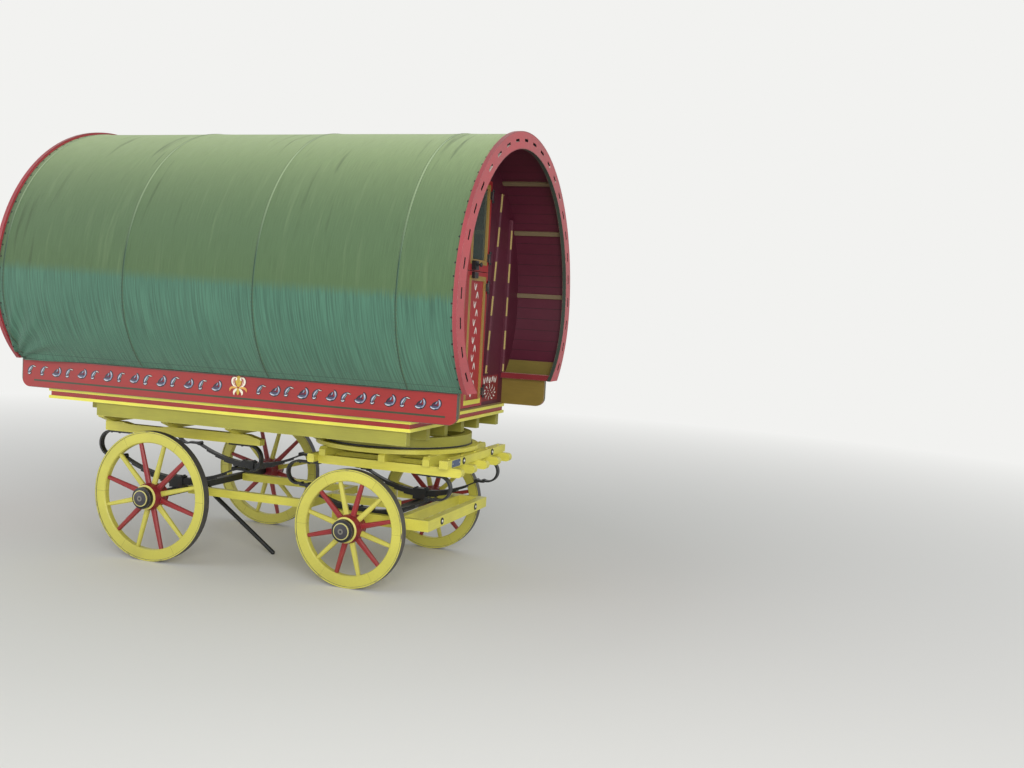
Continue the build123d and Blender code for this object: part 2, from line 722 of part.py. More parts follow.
def fore_frame():
    """Long bars, cross bars and splinter bar that carry the turning ring."""
    z0, z1 = long_bar_bottom_z, long_bar_top_z
    x = front_axle_x
    hole = disc(x, 0, z0, z1, kingpin_r + kingpin_gap)
    bars = []
    for n in range(long_bar_count):
        y = (n - (long_bar_count - 1) / 2) * long_bar_pitch
        y0, y1 = y - long_bar_wide / 2, y + long_bar_wide / 2
        bar = box(x + long_bar_rear_out, x + long_bar_front_out, y0, y1, z0, z1)
        nose = bar.edges().filter_by(Axis.Y).group_by(Axis.X)[-1]
        bars.append(fillet(nose, long_bar_nose_r) - hole)
    save("fore_long_bars", *bars)
    cross = []
    for out in cross_bar_outs:
        bar = bar_across(x + out, cross_bar_wide, cross_bar_half, z1, ring_bottom_z)
        top_ends = bar.edges().filter_by(Axis.X).group_by(Axis.Z)[-1]
        cross.append(chamfer(top_ends, cross_bar_end))
    low, high = z0 + rear_cross_up, z1 + rear_cross_up
    rear = bar_across(x + rear_cross_out, rear_cross_wide, rear_cross_half, low, high)
    save("fore_cross_bars", *cross, bevelled(rear, Axis.Y, rear_cross_bevel))
    splinter = bar_across(x + splinter_out, splinter_wide, splinter_half, z1, z1 + splinter_high)
    splinter_face = x + splinter_out + splinter_wide / 2
    splinter_z = z1 + splinter_high / 2
    low_z, high_z = lower_frame_bottom_z, lower_frame_bottom_z + lower_frame_high
    lower_half = hound_y + hound_wide / 2
    lower_z = (low_z + high_z) / 2
    lower = bar_across(lower_front_x - lower_front_wide / 2, lower_front_wide, lower_half, low_z, high_z)
    washers = []
    # columns: front face x, hole y, hole z, thickness of the bar
    for face_x, hole_y, z, thick in ((splinter_face, splinter_hole_y, splinter_z, splinter_wide),
                                     (lower_front_x, lower_hole_y, lower_z, lower_front_wide)):
        for y in (-hole_y, hole_y):
            bore = Pos(face_x, y, z) * Rot(0, 90, 0) * Cylinder(pin_hole_r, 2 * thick + 2 * washer_thick)
            splinter -= bore
            lower -= bore
            washer = Pos(face_x + washer_thick / 2, y, z) * Rot(0, 90, 0) * Cylinder(washer_r, washer_thick)
            washers.append(washer - bore)
    save("splinter_bar", splinter)
    save("shaft_washers", *washers)
    back = lower_front_x - lower_front_wide
    for y in (-hound_y, hound_y):
        lower += box(x + lower_rear_out, back, y - hound_wide / 2, y + hound_wide / 2, low_z, high_z)
    lower += bar_across(x + lower_brace_out, lower_brace_wide, hound_y, low_z, high_z)
    axle_z0, axle_z1 = front_wheel_r - axle_square / 2, front_wheel_r + axle_square / 2
    lower -= bar_across(x, axle_square, lower_half, axle_z0, axle_z1)
    save("lower_frame", lower)


def fore_carriage():
    """Springs, scroll irons and axle of the front wheels."""
    x, z = front_axle_x, front_wheel_r
    save("front_springs", *both_sides(leaf_spring(x, front_spring_half, front_eye_z, z)))
    irons = scroll_set(x, front_scroll_out, front_scroll_r, front_spring_half, front_eye_z, long_bar_bottom_z)
    save("front_scroll_irons", *irons)
    low, high = z - axle_square / 2, z + axle_square / 2
    boss = disc(x, 0, low, high, kingpin_r + axle_boss)
    hole = disc(x, 0, low, high, kingpin_r + kingpin_gap)
    save("front_axle", axle(x, z, front_rim_face_y) + boss - hole)


def wheel(name, x, radius, face_y, side):
    """Iron tyre, felloes, and twelve spokes round a turned nave; side is +1 on the left."""
    spin = Pos(x, 0, radius) * Rot(90, 0, 0)
    mid_y = face_y - tyre_wide / 2
    rim_r = radius - tyre_thick
    inner_r = rim_r - felloe_deep
    tyre = Cylinder(radius, tyre_wide) - Cylinder(rim_r, tyre_wide)
    felloes = Cylinder(rim_r, felloe_wide) - Cylinder(inner_r, felloe_wide)
    rim_edges = felloes.edges().filter_by(GeomType.CIRCLE)
    inner_edges = rim_edges.filter_by(lambda e: abs(e.radius - inner_r) < 0.1)
    felloes = chamfer(inner_edges, felloe_bevel)

    nose, cap_z = nave_nose_out, nave_nose_out - cap_bevel
    band_z = cap_z - cap_high - cap_to_band
    bore_r = arm_r + arm_gap
    # columns: radius, distance outwards from the face of the rim
    profile = ((0, nose), (nave_tip_r, nose), (nave_cap_r, cap_z), (nave_cap_r, cap_z - cap_high),
               (nave_band_r, band_z), (nave_band_r, nave_band_out), (nave_front_r, nave_front_out),
               (nave_r, nave_belly_out), (nave_r, -nave_belly_in), (nave_back_r, -nave_taper_in),
               (nave_back_r, -nave_back_in), (bore_r, -nave_back_in), (bore_r, nose - nave_wall),
               (0, nose - nave_wall))
    outline = make_face(Polyline(*profile, close=True))
    nave = revolve(Plane((0, 0, 0), x_dir=(1, 0, 0), z_dir=(0, -1, 0)) * outline, axis=Axis.Z)
    nave = Pos(0, 0, tyre_wide / 2) * nave
    root, tip = spoke_root_wide / 2, spoke_tip_wide / 2
    foot_r = nave_r - spoke_tenon
    blade = Polyline((foot_r, -root), (inner_r, -tip), (inner_r, tip), (foot_r, root), close=True)
    spoke = Pos(0, 0, -spoke_thick / 2) * extrude(make_face(blade), amount=spoke_thick)
    long_edges = spoke.edges().filter_by(lambda e: e.length > inner_r / 2)
    spoke = chamfer(long_edges, spoke_bevel) & Cylinder(inner_r, felloe_wide)
    for n in range(spoke_count):
        nave += Rot(0, 0, 360 * (n + 0.5) / spoke_count) * spoke
    for part_name, piece in (("tyre", tyre), ("felloes", felloes), ("spokes", nave)):
        placed = spin * Pos(0, 0, mid_y) * piece
        if side > 0:
            placed = mirror(placed, about=Plane.XZ)
        save(f"{name}_{part_name}", placed)


barrel()
stringers()
bed()
front_wall()
rear_wall()
doors()
rear_carriage()
sprag()
turntable()
fore_frame()
fore_carriage()
# columns: end, axle x, wheel radius, rim face y
for end, axle_x, wheel_r, face_y in (("rear", rear_axle_x, rear_wheel_r, rear_rim_face_y),
                                     ("front", front_axle_x, front_wheel_r, front_rim_face_y)):
    wheel(f"wheel_{end}_right", axle_x, wheel_r, face_y, -1)
    wheel(f"wheel_{end}_left", axle_x, wheel_r, face_y, 1)
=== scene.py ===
# %% [markdown]
# # A barrel-top living wagon
# The wagon is a canvas barrel on a sprung dray. Its timbers and irons come as a fixed frame, and
# this script gives each of them its paint, stretches the canvas over the barrel, and adds the
# painted ornament, bolts and stitches. Everything is in metres: X runs forward along the wagon,
# Y to its left and Z up from the ground.

# %% Load the frame
import math
import random

import bpy
from mathutils import Euler, Matrix, Vector


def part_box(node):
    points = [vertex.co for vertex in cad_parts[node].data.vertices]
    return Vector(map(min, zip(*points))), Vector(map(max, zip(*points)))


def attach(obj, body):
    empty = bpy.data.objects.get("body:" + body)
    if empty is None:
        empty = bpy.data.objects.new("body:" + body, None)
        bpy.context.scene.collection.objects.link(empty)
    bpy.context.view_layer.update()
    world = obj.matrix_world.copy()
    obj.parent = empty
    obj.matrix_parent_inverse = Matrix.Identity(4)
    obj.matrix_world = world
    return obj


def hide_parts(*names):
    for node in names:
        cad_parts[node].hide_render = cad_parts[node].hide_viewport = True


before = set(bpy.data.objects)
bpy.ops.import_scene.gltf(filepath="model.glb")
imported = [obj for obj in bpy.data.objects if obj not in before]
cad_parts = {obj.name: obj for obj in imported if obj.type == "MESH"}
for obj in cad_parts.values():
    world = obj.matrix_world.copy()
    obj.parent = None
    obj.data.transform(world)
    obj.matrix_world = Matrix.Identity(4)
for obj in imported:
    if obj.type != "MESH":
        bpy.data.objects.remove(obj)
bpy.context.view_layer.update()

MM = 0.001
# Farther than any part of the wagon reaches, so a band up to it has no end.
FAR = 9.0

# %% [markdown]
# ## The studio
# A large soft lamp behind the viewer's right shoulder gives the timbers a lit and a shaded side,
# and a weaker one far to the left fills the shade. Small hard lamps would draw sharper shadows
# than the shade of trees does. The camera stands where the photograph was taken, 2 m above the
# ground.

# %% Camera and lamps
CAMERA_PLACE = (4.267, -7.2735, 1.9956)
CAMERA_TURN = (86.006, -3.104, 19.164)
LENS_MM = 37.238
SENSOR_MM = 36
LAMPS_AIM = Vector((0, 0, 1.2))

scene = bpy.context.scene
camera_data = bpy.data.cameras.new("camera")
camera_data.lens = LENS_MM
camera_data.sensor_width = SENSOR_MM
camera = bpy.data.objects.new("camera", camera_data)
camera.location = CAMERA_PLACE
camera.rotation_euler = [math.radians(angle) for angle in CAMERA_TURN]
scene.collection.objects.link(camera)
scene.camera = camera
scene.view_settings.view_transform = "Standard"

# columns: name, place, watts, width
for name, place, watts, width in (("key_lamp", (6.5, -10.0, 4.6), 760, 5.5),
                                  ("fill_lamp", (-8.0, -8.0, 3.0), 260, 6.0)):
    lamp_data = bpy.data.lights.new(name, "AREA")
    lamp_data.energy = watts
    lamp_data.size = width
    lamp = bpy.data.objects.new(name, lamp_data)
    lamp.location = place
    lamp.rotation_euler = (LAMPS_AIM - Vector(place)).to_track_quat("-Z", "Y").to_euler()
    scene.collection.objects.link(lamp)
print("lens", LENS_MM, "mm")

# %% [markdown]
# ## Colours and nodes
# Colours are written as a paint chart gives them, in hex, and one function turns them into the
# linear light that a shader works in. One small function adds a node with its settings and links.
# An input may be a number, a hex colour, a link, or a whole node, whose result is then used.

# %% Colour and node helpers
def paint(code):
    """Turn a hex colour into linear red, green, blue and alpha."""
    levels = [int(code[n:n + 2], 16) / 255 for n in (1, 3, 5)]
    return [v / 12.92 if v <= 0.04045 else ((v + 0.055) / 1.055) ** 2.4 for v in levels] + [1.0]


def feed(tree, node, values):
    """Give a node its inputs, by name or in their order; None leaves one as it is."""
    for key, value in (values.items() if isinstance(values, dict) else enumerate(values)):
        if isinstance(value, bpy.types.Node):
            value = next(socket for socket in value.outputs if socket.enabled)
        if isinstance(value, bpy.types.NodeSocket):
            tree.links.new(value, node.inputs[key])
        elif isinstance(value, str) and value.startswith("#"):
            node.inputs[key].default_value = paint(value)
        elif value is not None:
            node.inputs[key].default_value = value


def add(tree, kind, values=(), **settings):
    """Add one node: first its settings, then its inputs. A short kind is that of a shader node."""
    node = tree.nodes.new(kind if "Node" in kind else "ShaderNode" + kind)
    for name, value in settings.items():
        setattr(node, name, value)
    feed(tree, node, values)
    return node


def new_material(name):
    """A material with its tree emptied down to a shader and its output, and its coordinates."""
    material = bpy.data.materials.new(name)
    material.use_nodes = True
    tree = material.node_tree
    tree.nodes.clear()
    shader = add(tree, "BsdfPrincipled")
    add(tree, "OutputMaterial", {"Surface": shader})
    return material, tree, shader, add(tree, "TexCoord").outputs["Object"]


print("mid grey in linear light", round(paint("#808080")[0], 3))

# %% [markdown]
# ## Floor and sky
# The floor is a matt studio board under an even sky, which keeps the colours as they are written.
# A curved backdrop could hide its edge. Here the floor is seen as pale as the sky far from the
# wagon instead, so no hard horizon crosses the picture from any side.

# %% Floor and sky
FLOOR_HALF = 30
FADE_FROM, FADE_TO = 3.0, 13.0
SKY_SEEN = "#f2f2f0"
floor_mesh = bpy.data.meshes.new("floor")
floor_mesh.from_pydata([(x * FLOOR_HALF, y * FLOOR_HALF, 0) for x, y in ((-1, -1), (1, -1), (1, 1), (-1, 1))],
                       [], [(0, 1, 2, 3)])
floor = bpy.data.objects.new("floor", floor_mesh)
scene.collection.objects.link(floor)
floor_paint, tree, shader, place = new_material("matt_studio_floor")
feed(tree, shader, {"Base Color": "#e2e0da", "Roughness": 0.9})
away = add(tree, "VectorMath", [place], operation="LENGTH")
far = add(tree, "MapRange", [away, FADE_FROM, FADE_TO])
straight = add(tree, "LightPath").outputs["Is Camera Ray"]
far = add(tree, "Math", [far, straight], operation="MULTIPLY")
pale = add(tree, "Emission", {"Color": SKY_SEEN, "Strength": 1.0})
faded = add(tree, "MixShader", [far, shader, pale])
feed(tree, tree.nodes["Material Output"], {"Surface": faded})
floor_mesh.materials.append(floor_paint)

sky = bpy.data.worlds.new("sky")
sky.use_nodes = True
scene.world = sky
tree = sky.node_tree
tree.nodes.clear()
rays = add(tree, "LightPath").outputs
seen = add(tree, "Math", [rays["Is Camera Ray"], rays["Is Transmission Ray"]], operation="MAXIMUM")
seen = add(tree, "Math", [seen, rays["Is Glossy Ray"]], operation="MAXIMUM")
soft = add(tree, "Background", {"Color": "#eef2f6", "Strength": 0.62})
plain = add(tree, "Background", {"Color": SKY_SEEN, "Strength": 1.0})
add(tree, "OutputWorld", {"Surface": add(tree, "MixShader", [seen, soft, plain])})
print("floor", 2 * FLOOR_HALF, "m wide")

# %% [markdown]
# ## Brushed paint on timber
# The wagon is painted by hand in gloss paint over planed timber. Seen close, such paint shows
# three things: brush marks that run with the grain, patches where sun and rain have dulled it,
# and edges rubbed back to a paler coat. The edge is found by comparing the true normal with one
# rounded over a few millimetres: they differ only near an edge. Grime gathers near the ground.

# %% Painted timber
BRUSH_MM = 7
PATCH_MM = 320
CHIP_MM = 26
EDGE_MM = 5
GRAIN_STRETCH = 0.05
GRIME_TOP = 0.42
GRIME = "#5a5130"


def rubbed_edge(tree, wide):
    """1 along an edge and 0 away from it, fading over a width."""
    rounded = add(tree, "Bevel", {"Radius": wide}, samples=4)
    true = add(tree, "NewGeometry").outputs["Normal"]
    bend = add(tree, "VectorMath", [rounded, true], operation="DOT_PRODUCT")
    return add(tree, "MapRange", [bend, 0.99, 0.85])


def painted_timber(name, coat, rubbed, along=0, rough=0.42, wear=0.6):
    """Gloss paint on timber whose grain runs along X, Y or Z; coat is a colour or a pattern."""
    material, tree, shader, place = new_material(name)
    stretch = [1.0, 1.0, 1.0]
    stretch[along] = GRAIN_STRETCH
    grain = add(tree, "Mapping", {"Vector": place, "Scale": stretch})
    brush = add(tree, "TexNoise", {"Vector": grain, "Scale": 1 / (BRUSH_MM * MM), "Detail": 3.0})
    patch = add(tree, "TexNoise", {"Vector": place, "Scale": 1 / (PATCH_MM * MM), "Detail": 4.0})
    chips = add(tree, "TexNoise", {"Vector": place, "Scale": 1 / (CHIP_MM * MM), "Detail": 5.0})
    dulled = add(tree, "MapRange", [patch, 0.3, 0.7, 0.86, 1.08])
    brushed = add(tree, "MapRange", [brush, 0.3, 0.7, 0.94, 1.05])
    level = add(tree, "Math", [dulled, brushed], operation="MULTIPLY")
    colour = coat(tree, place) if callable(coat) else coat
    colour = add(tree, "HueSaturation", {"Color": colour, "Value": level})
    broken = add(tree, "MapRange", [chips, 0.44, 0.58, 0.15, wear])
    rub = add(tree, "Math", [rubbed_edge(tree, EDGE_MM * MM), broken], operation="MULTIPLY")
    colour = add(tree, "Mix", {0: rub, 6: colour, 7: rubbed}, data_type="RGBA")
    height = add(tree, "SeparateXYZ", [place]).outputs["Z"]
    low = add(tree, "MapRange", [height, GRIME_TOP, 0.0, 0.0, 0.45])
    spots = add(tree, "MapRange", [patch, 0.35, 0.75])
    dirt = add(tree, "Math", [low, spots], operation="MULTIPLY")
    colour = add(tree, "Mix", {0: dirt, 6: colour, 7: GRIME}, data_type="RGBA")
    gloss = add(tree, "MapRange", [patch, 0.0, 1.0, rough - 0.08, rough + 0.12])
    bump = add(tree, "Bump", {"Height": brush, "Strength": 0.35, "Distance": 0.6 * MM})
    feed(tree, shader, {"Base Color": colour, "Roughness": gloss, "Normal": bump})
    return material


RED, DOOR_RED, CROWN_RED, DARK_RED = "#9c2725", "#a6272a", "#b84248", "#7c1c24"
MAROON, PINK_WORN, MAROON_WORN = "#521428", "#d98a84", "#8a4050"
OCHRE, OCHRE_WORN, LEMON_IN_PAINTED_SHADE = "#a08540", "#cdbb6a", "#9f9b3c"
LEMON, WHEEL_LEMON, PALE_LEMON = "#dcd456", "#cbc454", "#f0eea0"
SLATE_GREEN, BLACK = "#3d4a40", "#17191b"
paints = {
    "red_long": painted_timber("gloss_paint_red_along", RED, PINK_WORN),
    "red_upright": painted_timber("gloss_paint_red_upright", RED, PINK_WORN, along=2),
    "ochre": painted_timber("satin_paint_ochre", OCHRE, OCHRE_WORN, rough=0.5, wear=0.4),
    "stringers": painted_timber("satin_paint_faded_ochre", "#74644a", OCHRE_WORN, rough=0.5, wear=0.3),
    "lemon_long": painted_timber("gloss_paint_lemon_along", LEMON, PALE_LEMON),
    "lemon_cross": painted_timber("gloss_paint_lemon_across", LEMON, PALE_LEMON, along=1),
    "lemon_bright": painted_timber("gloss_paint_bright_lemon", "#e6df52", "#f6f3b8", wear=0.5),
    # Painted shade: the sills, joists and upper turntable take the dray's lemon darkened to olive, for their
    # place in the shade under the body; their rubbed edges show the lemon.
    "olive": painted_timber("weathered_paint_olive", LEMON_IN_PAINTED_SHADE, PALE_LEMON, rough=0.55),
    "slate": painted_timber("satin_paint_slate_green", SLATE_GREEN, "#6d776c", rough=0.55),
}
print("timber paints", len(paints))

# %% [markdown]
# ## Side boards
# A side board is red outside and ochre inside, with a dark line round its outer face and a fine
# one along its foot. Each colour could be a mesh of its own, but on the real board they are one
# coat beside another. So the pattern reads the object's coordinates and paints band over band.

# %% Side boards
board_low, board_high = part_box("side_boards")
deck_low, deck_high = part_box("floor_deck")
EDGE_LINE = 7 * MM
FOOT_LINE = 3 * MM
FINE_LINE_Z = 1.281
FINE_LINE_HALF = 6.5 * MM
FINE_LINE_ENDS = (-1.69, 1.65)


def banded(tree, value, base, bands):
    """Colour base, with each band (from, to, colour) painted over it where value lies inside."""
    for start, stop, colour in bands:
        above = add(tree, "Math", [value, start], operation="GREATER_THAN")
        below = add(tree, "Math", [value, stop], operation="LESS_THAN")
        inside = add(tree, "Math", [above, below], operation="MULTIPLY")
        base = add(tree, "Mix", {0: inside, 6: base, 7: colour}, data_type="RGBA")
    return base


def side_board_coat(tree, place):
    x, y, z = add(tree, "SeparateXYZ", [place]).outputs
    outward = add(tree, "Math", [y], operation="ABSOLUTE")
    edged = banded(tree, z, RED, ((board_high.z - EDGE_LINE, FAR, SLATE_GREEN),
                                  (-FAR, board_low.z + FOOT_LINE, SLATE_GREEN)))
    edged = banded(tree, x, edged, ((-FAR, board_low.x + EDGE_LINE, SLATE_GREEN),
                                    (board_high.x - EDGE_LINE, FAR, SLATE_GREEN)))
    lined = banded(tree, z, edged, ((FINE_LINE_Z - FINE_LINE_HALF, FINE_LINE_Z + FINE_LINE_HALF, "#33402a"),))
    lined = banded(tree, x, edged, ((*FINE_LINE_ENDS, lined),))
    return banded(tree, outward, "#7d6928", (((deck_high.y + board_high.y) / 2, FAR, lined),))


paints["side_board"] = painted_timber("gloss_paint_side_board", side_board_coat, PINK_WORN)
print("side board", round(board_high.z - board_low.z, 3), "m high")

# %% [markdown]
# ## Crown board and rear arch
# The crown board is pinkish red, but its inner edge is slate green. The walls of its slots are
# painted dark, painted shade inside the slots, and round the crown of the arch their up-facing sills
# are painted cream, a painted highlight where light falls on them. All of that depends on the
# distance from the arch's centre. The arch is drawn with two arcs on each side, so the distance is
# measured from a second centre below the first one's height.

# %% Crown board and rear arch
CROWN_WIDE = 122 * MM
LIT_SILLS_FROM = 2.85
SLOT_PAINTED_SHADE = "#1d1215"
crown_low, crown_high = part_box("crown_board")
arch_r = crown_high.y
arch_z = crown_high.z - arch_r
crown_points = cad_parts["crown_board"].data.vertices
arch_foot_y = max(v.co.y for v in crown_points if v.co.z < crown_low.z + MM)
arch_drop = arch_z - crown_low.z
arch_shift = (arch_r**2 - arch_drop**2 - arch_foot_y**2) / (2 * (arch_r - arch_foot_y))


def hoop_radius(tree, place):
    """Distance from the barrel's axis, measured on the tighter foot arcs below its centre."""
    x, y, z = add(tree, "SeparateXYZ", [place]).outputs
    side = add(tree, "Math", [y], operation="ABSOLUTE")
    rise = add(tree, "Math", [z, arch_z], operation="SUBTRACT")
    lower = add(tree, "Math", [rise, 0.0], operation="LESS_THAN")
    shift = add(tree, "Math", [lower, arch_shift], operation="MULTIPLY")
    reach = add(tree, "Math", [side, shift], operation="SUBTRACT")
    flat = add(tree, "CombineXYZ", [reach, rise, 0.0])
    length = add(tree, "VectorMath", [flat], operation="LENGTH")
    return add(tree, "Math", [length, shift], operation="ADD")


def face_leans(tree):
    """How far the bare face looks along X, Y and Z, each from -1 to 1."""
    true = add(tree, "NewGeometry").outputs["True Normal"]
    return add(tree, "SeparateXYZ", [true]).outputs


def crown_coat(tree, place):
    radius = hoop_radius(tree, place)
    leans = face_leans(tree)
    endways = add(tree, "Math", [leans["X"]], operation="ABSOLUTE")
    inner = arch_r - CROWN_WIDE
    height = add(tree, "SeparateXYZ", [place]).outputs["Z"]
    # Painted shade: every slot wall is dark. Painted highlight: up-facing sills high on the arch are cream.
    sill = banded(tree, height, SLOT_PAINTED_SHADE, ((LIT_SILLS_FROM, FAR, "#d9d0c2"),))
    slot = banded(tree, leans["Z"], SLOT_PAINTED_SHADE, ((0.3, FAR, sill),))
    walls = banded(tree, radius, "#9c4046", ((0, inner + 8 * MM, SLATE_GREEN),
                                             (inner + 12 * MM, arch_r - 8 * MM, slot)))
    front = banded(tree, radius, CROWN_RED, ((0, inner + 5 * MM, DARK_RED),
                                             (arch_r - 5 * MM, FAR, "#8d3038")))
    return banded(tree, endways, walls, ((0.7, FAR, front),))


paints["crown"] = painted_timber("gloss_paint_crown_board", crown_coat, PINK_WORN, along=1)
print("arch radius", round(arch_r, 3), "foot", round(arch_foot_y, 3), "centre height", round(arch_z, 3))

# %% [markdown]
# ## Doors and front wall
# A half door is framed in red stiles and rails. An ochre moulding runs round its panel or glass,
# and the foot of the lower moulding is yellow. The front wall is maroon, with a dark red field
# beside the foot of each door. The hinges are one solid with the timber that carries them, so
# what stands proud of the face is painted black.

# %% Doors and front wall
DOOR_MEETING, DOOR_HALF, DOOR_STILE = 4 * MM, 415 * MM, 58 * MM
DOOR_FACE_X, DOOR_IRON_PROUD = 1.383, 3.6 * MM
WALL_FACE_X, WALL_IRON_PROUD = 1.372, 1.5 * MM
MOULDING_OUT, MOULDING_IN = 26 * MM, 9 * MM
FIELD_Y, FIELD_Z = (0.445, 0.800), (1.268, 1.470)


def door_coat(low, high, foot_rail, yellow_foot):
    """The pattern of one level of half doors, from the box of its left leaf."""
    panel_y = (DOOR_MEETING + DOOR_STILE, DOOR_HALF - DOOR_STILE)
    panel_z = (low.z + foot_rail, high.z - DOOR_STILE)

    def over(tree, value, ends, grow, base, colour):
        """Colour over base between the ends of the panel, which is first grown on each side."""
        return banded(tree, value, base, ((ends[0] - grow, ends[1] + grow, colour),))

    def coat(tree, place):
        x, y, z = add(tree, "SeparateXYZ", [place]).outputs
        side = add(tree, "Math", [y], operation="ABSOLUTE")
        ring = over(tree, side, panel_y, MOULDING_OUT, DOOR_RED, OCHRE)
        ring = over(tree, z, panel_z, MOULDING_OUT, DOOR_RED, ring)
        middle = over(tree, side, panel_y, -MOULDING_IN, ring, DOOR_RED)
        ring = over(tree, z, panel_z, -MOULDING_IN, ring, middle)
        if yellow_foot:
            foot = banded(tree, z, ring, ((panel_z[0] - MOULDING_OUT, panel_z[0] + MOULDING_IN, "#e2d94c"),))
            ring = over(tree, side, panel_y, MOULDING_OUT, ring, foot)
        return banded(tree, x, ring, ((DOOR_FACE_X + DOOR_IRON_PROUD, FAR, BLACK),))
    return coat


def wall_coat(tree, place):
    x, y, z = add(tree, "SeparateXYZ", [place]).outputs
    side = add(tree, "Math", [y], operation="ABSOLUTE")
    field = banded(tree, side, MAROON, ((*FIELD_Y, DARK_RED),))
    wall = banded(tree, z, MAROON, ((*FIELD_Z, field),))
    return banded(tree, x, wall, ((WALL_FACE_X + WALL_IRON_PROUD, FAR, BLACK),))


# columns: level, height of the rail at the foot, whether the foot of the moulding is yellow
for level, foot_rail, yellow_foot in (("lower", 46 * MM, True), ("upper", 76 * MM, False)):
    pattern = door_coat(*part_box(f"door_{level}_left"), foot_rail, yellow_foot)
    paints[f"door_{level}"] = painted_timber(f"gloss_paint_door_{level}", pattern, PINK_WORN, along=2)
paints["wall"] = painted_timber("satin_paint_front_wall", wall_coat, MAROON_WORN,
                                along=2, rough=0.5, wear=0.4)
print("door patterns for two levels")

# %% [markdown]
# ## Posts, boarding and rails
# The stopped chamfers of the front posts are picked out in ochre, 150 mm in every 270. The barrel
# is lined with narrow boards laid lengthways, and a dark joint shows between them. Grooves could
# be cut in the mesh, but at this distance a joint is only a line. The rails along the sides are
# painted pale pink on every upward face, a painted highlight where light falls on their tops, and
# their edges are rubbed to the same pink.

# %% Posts, boarding and rails
DASH_PITCH = 270 * MM
DASH_SHARE = (0.2, 0.76)
LINING_BOARD = 95 * MM
LINING_STRIP_TOP = 1.585


def share_of_pitch(tree, value, pitch):
    """Where a value lies within its own pitch, from 0 to 1."""
    count = add(tree, "Math", [value, pitch], operation="DIVIDE")
    return add(tree, "Math", [count], operation="FRACT")


def post_coat(tree, place):
    height = add(tree, "SeparateXYZ", [place]).outputs["Z"]
    endways = add(tree, "Math", [face_leans(tree)["X"]], operation="ABSOLUTE")
    dashes = banded(tree, share_of_pitch(tree, height, DASH_PITCH), MAROON, ((*DASH_SHARE, "#a89254"),))
    return banded(tree, endways, MAROON, ((0.3, 0.9, dashes),))


def lining_coat(tree, place):
    x, y, z = add(tree, "SeparateXYZ", [place]).outputs
    rise = add(tree, "Math", [z, arch_z], operation="SUBTRACT")
    turn = add(tree, "Math", [rise, y], operation="ARCTAN2")
    joint = share_of_pitch(tree, turn, LINING_BOARD / arch_r)
    boards = banded(tree, joint, MAROON, ((0.0, 0.045, "#2c0a14"),))
    return banded(tree, z, boards, ((-FAR, LINING_STRIP_TOP, "#796b30"),))


def rail_coat(tree, place):
    # Painted highlight: the upward faces of the rail are pale pink.
    return banded(tree, face_leans(tree)["Z"], DARK_RED, ((0.7, FAR, "#cf9a98"),))


paints["posts"] = painted_timber("satin_paint_posts", post_coat, MAROON_WORN, along=2, rough=0.5, wear=0.3)
paints["lining"] = painted_timber("satin_paint_boarding", lining_coat, "#7c3044", rough=0.5, wear=0.3)
paints["rail"] = painted_timber("gloss_paint_rail", rail_coat, "#cf9a98")
print("boards in the lining", round(math.pi * arch_r / LINING_BOARD), "over the upper half")

# %% [markdown]
# ## Wheels
# The felloes are lemon, the nave is red with a yellow ring, and the twelve spokes go red, yellow,
# red, yellow. One pattern can paint both wheels of an axle, because on a wheel the colour depends
# only on the angle round the axle, the distance from it, and the distance outwards along it.

# %% Wheel paints
SPOKES = 12
FELLOES = 6
FELLOE_JOINT = 0.003
NAVE_R = 101 * MM
CAP_OUT = 95 * MM
# columns of both: from, to, colour; along the nave outwards, and outwards from the axle on its cap
NAVE_BANDS = ((40 * MM, 50 * MM, "#d8cf6a"), (50 * MM, 91 * MM, "#14181a"), (91 * MM, FAR, "#cbc478"))
CAP_RINGS = ((0, 53 * MM, "#3c3a3f"), (0, 20 * MM, "#77736a"), (0, 9 * MM, "#2a2c2c"))


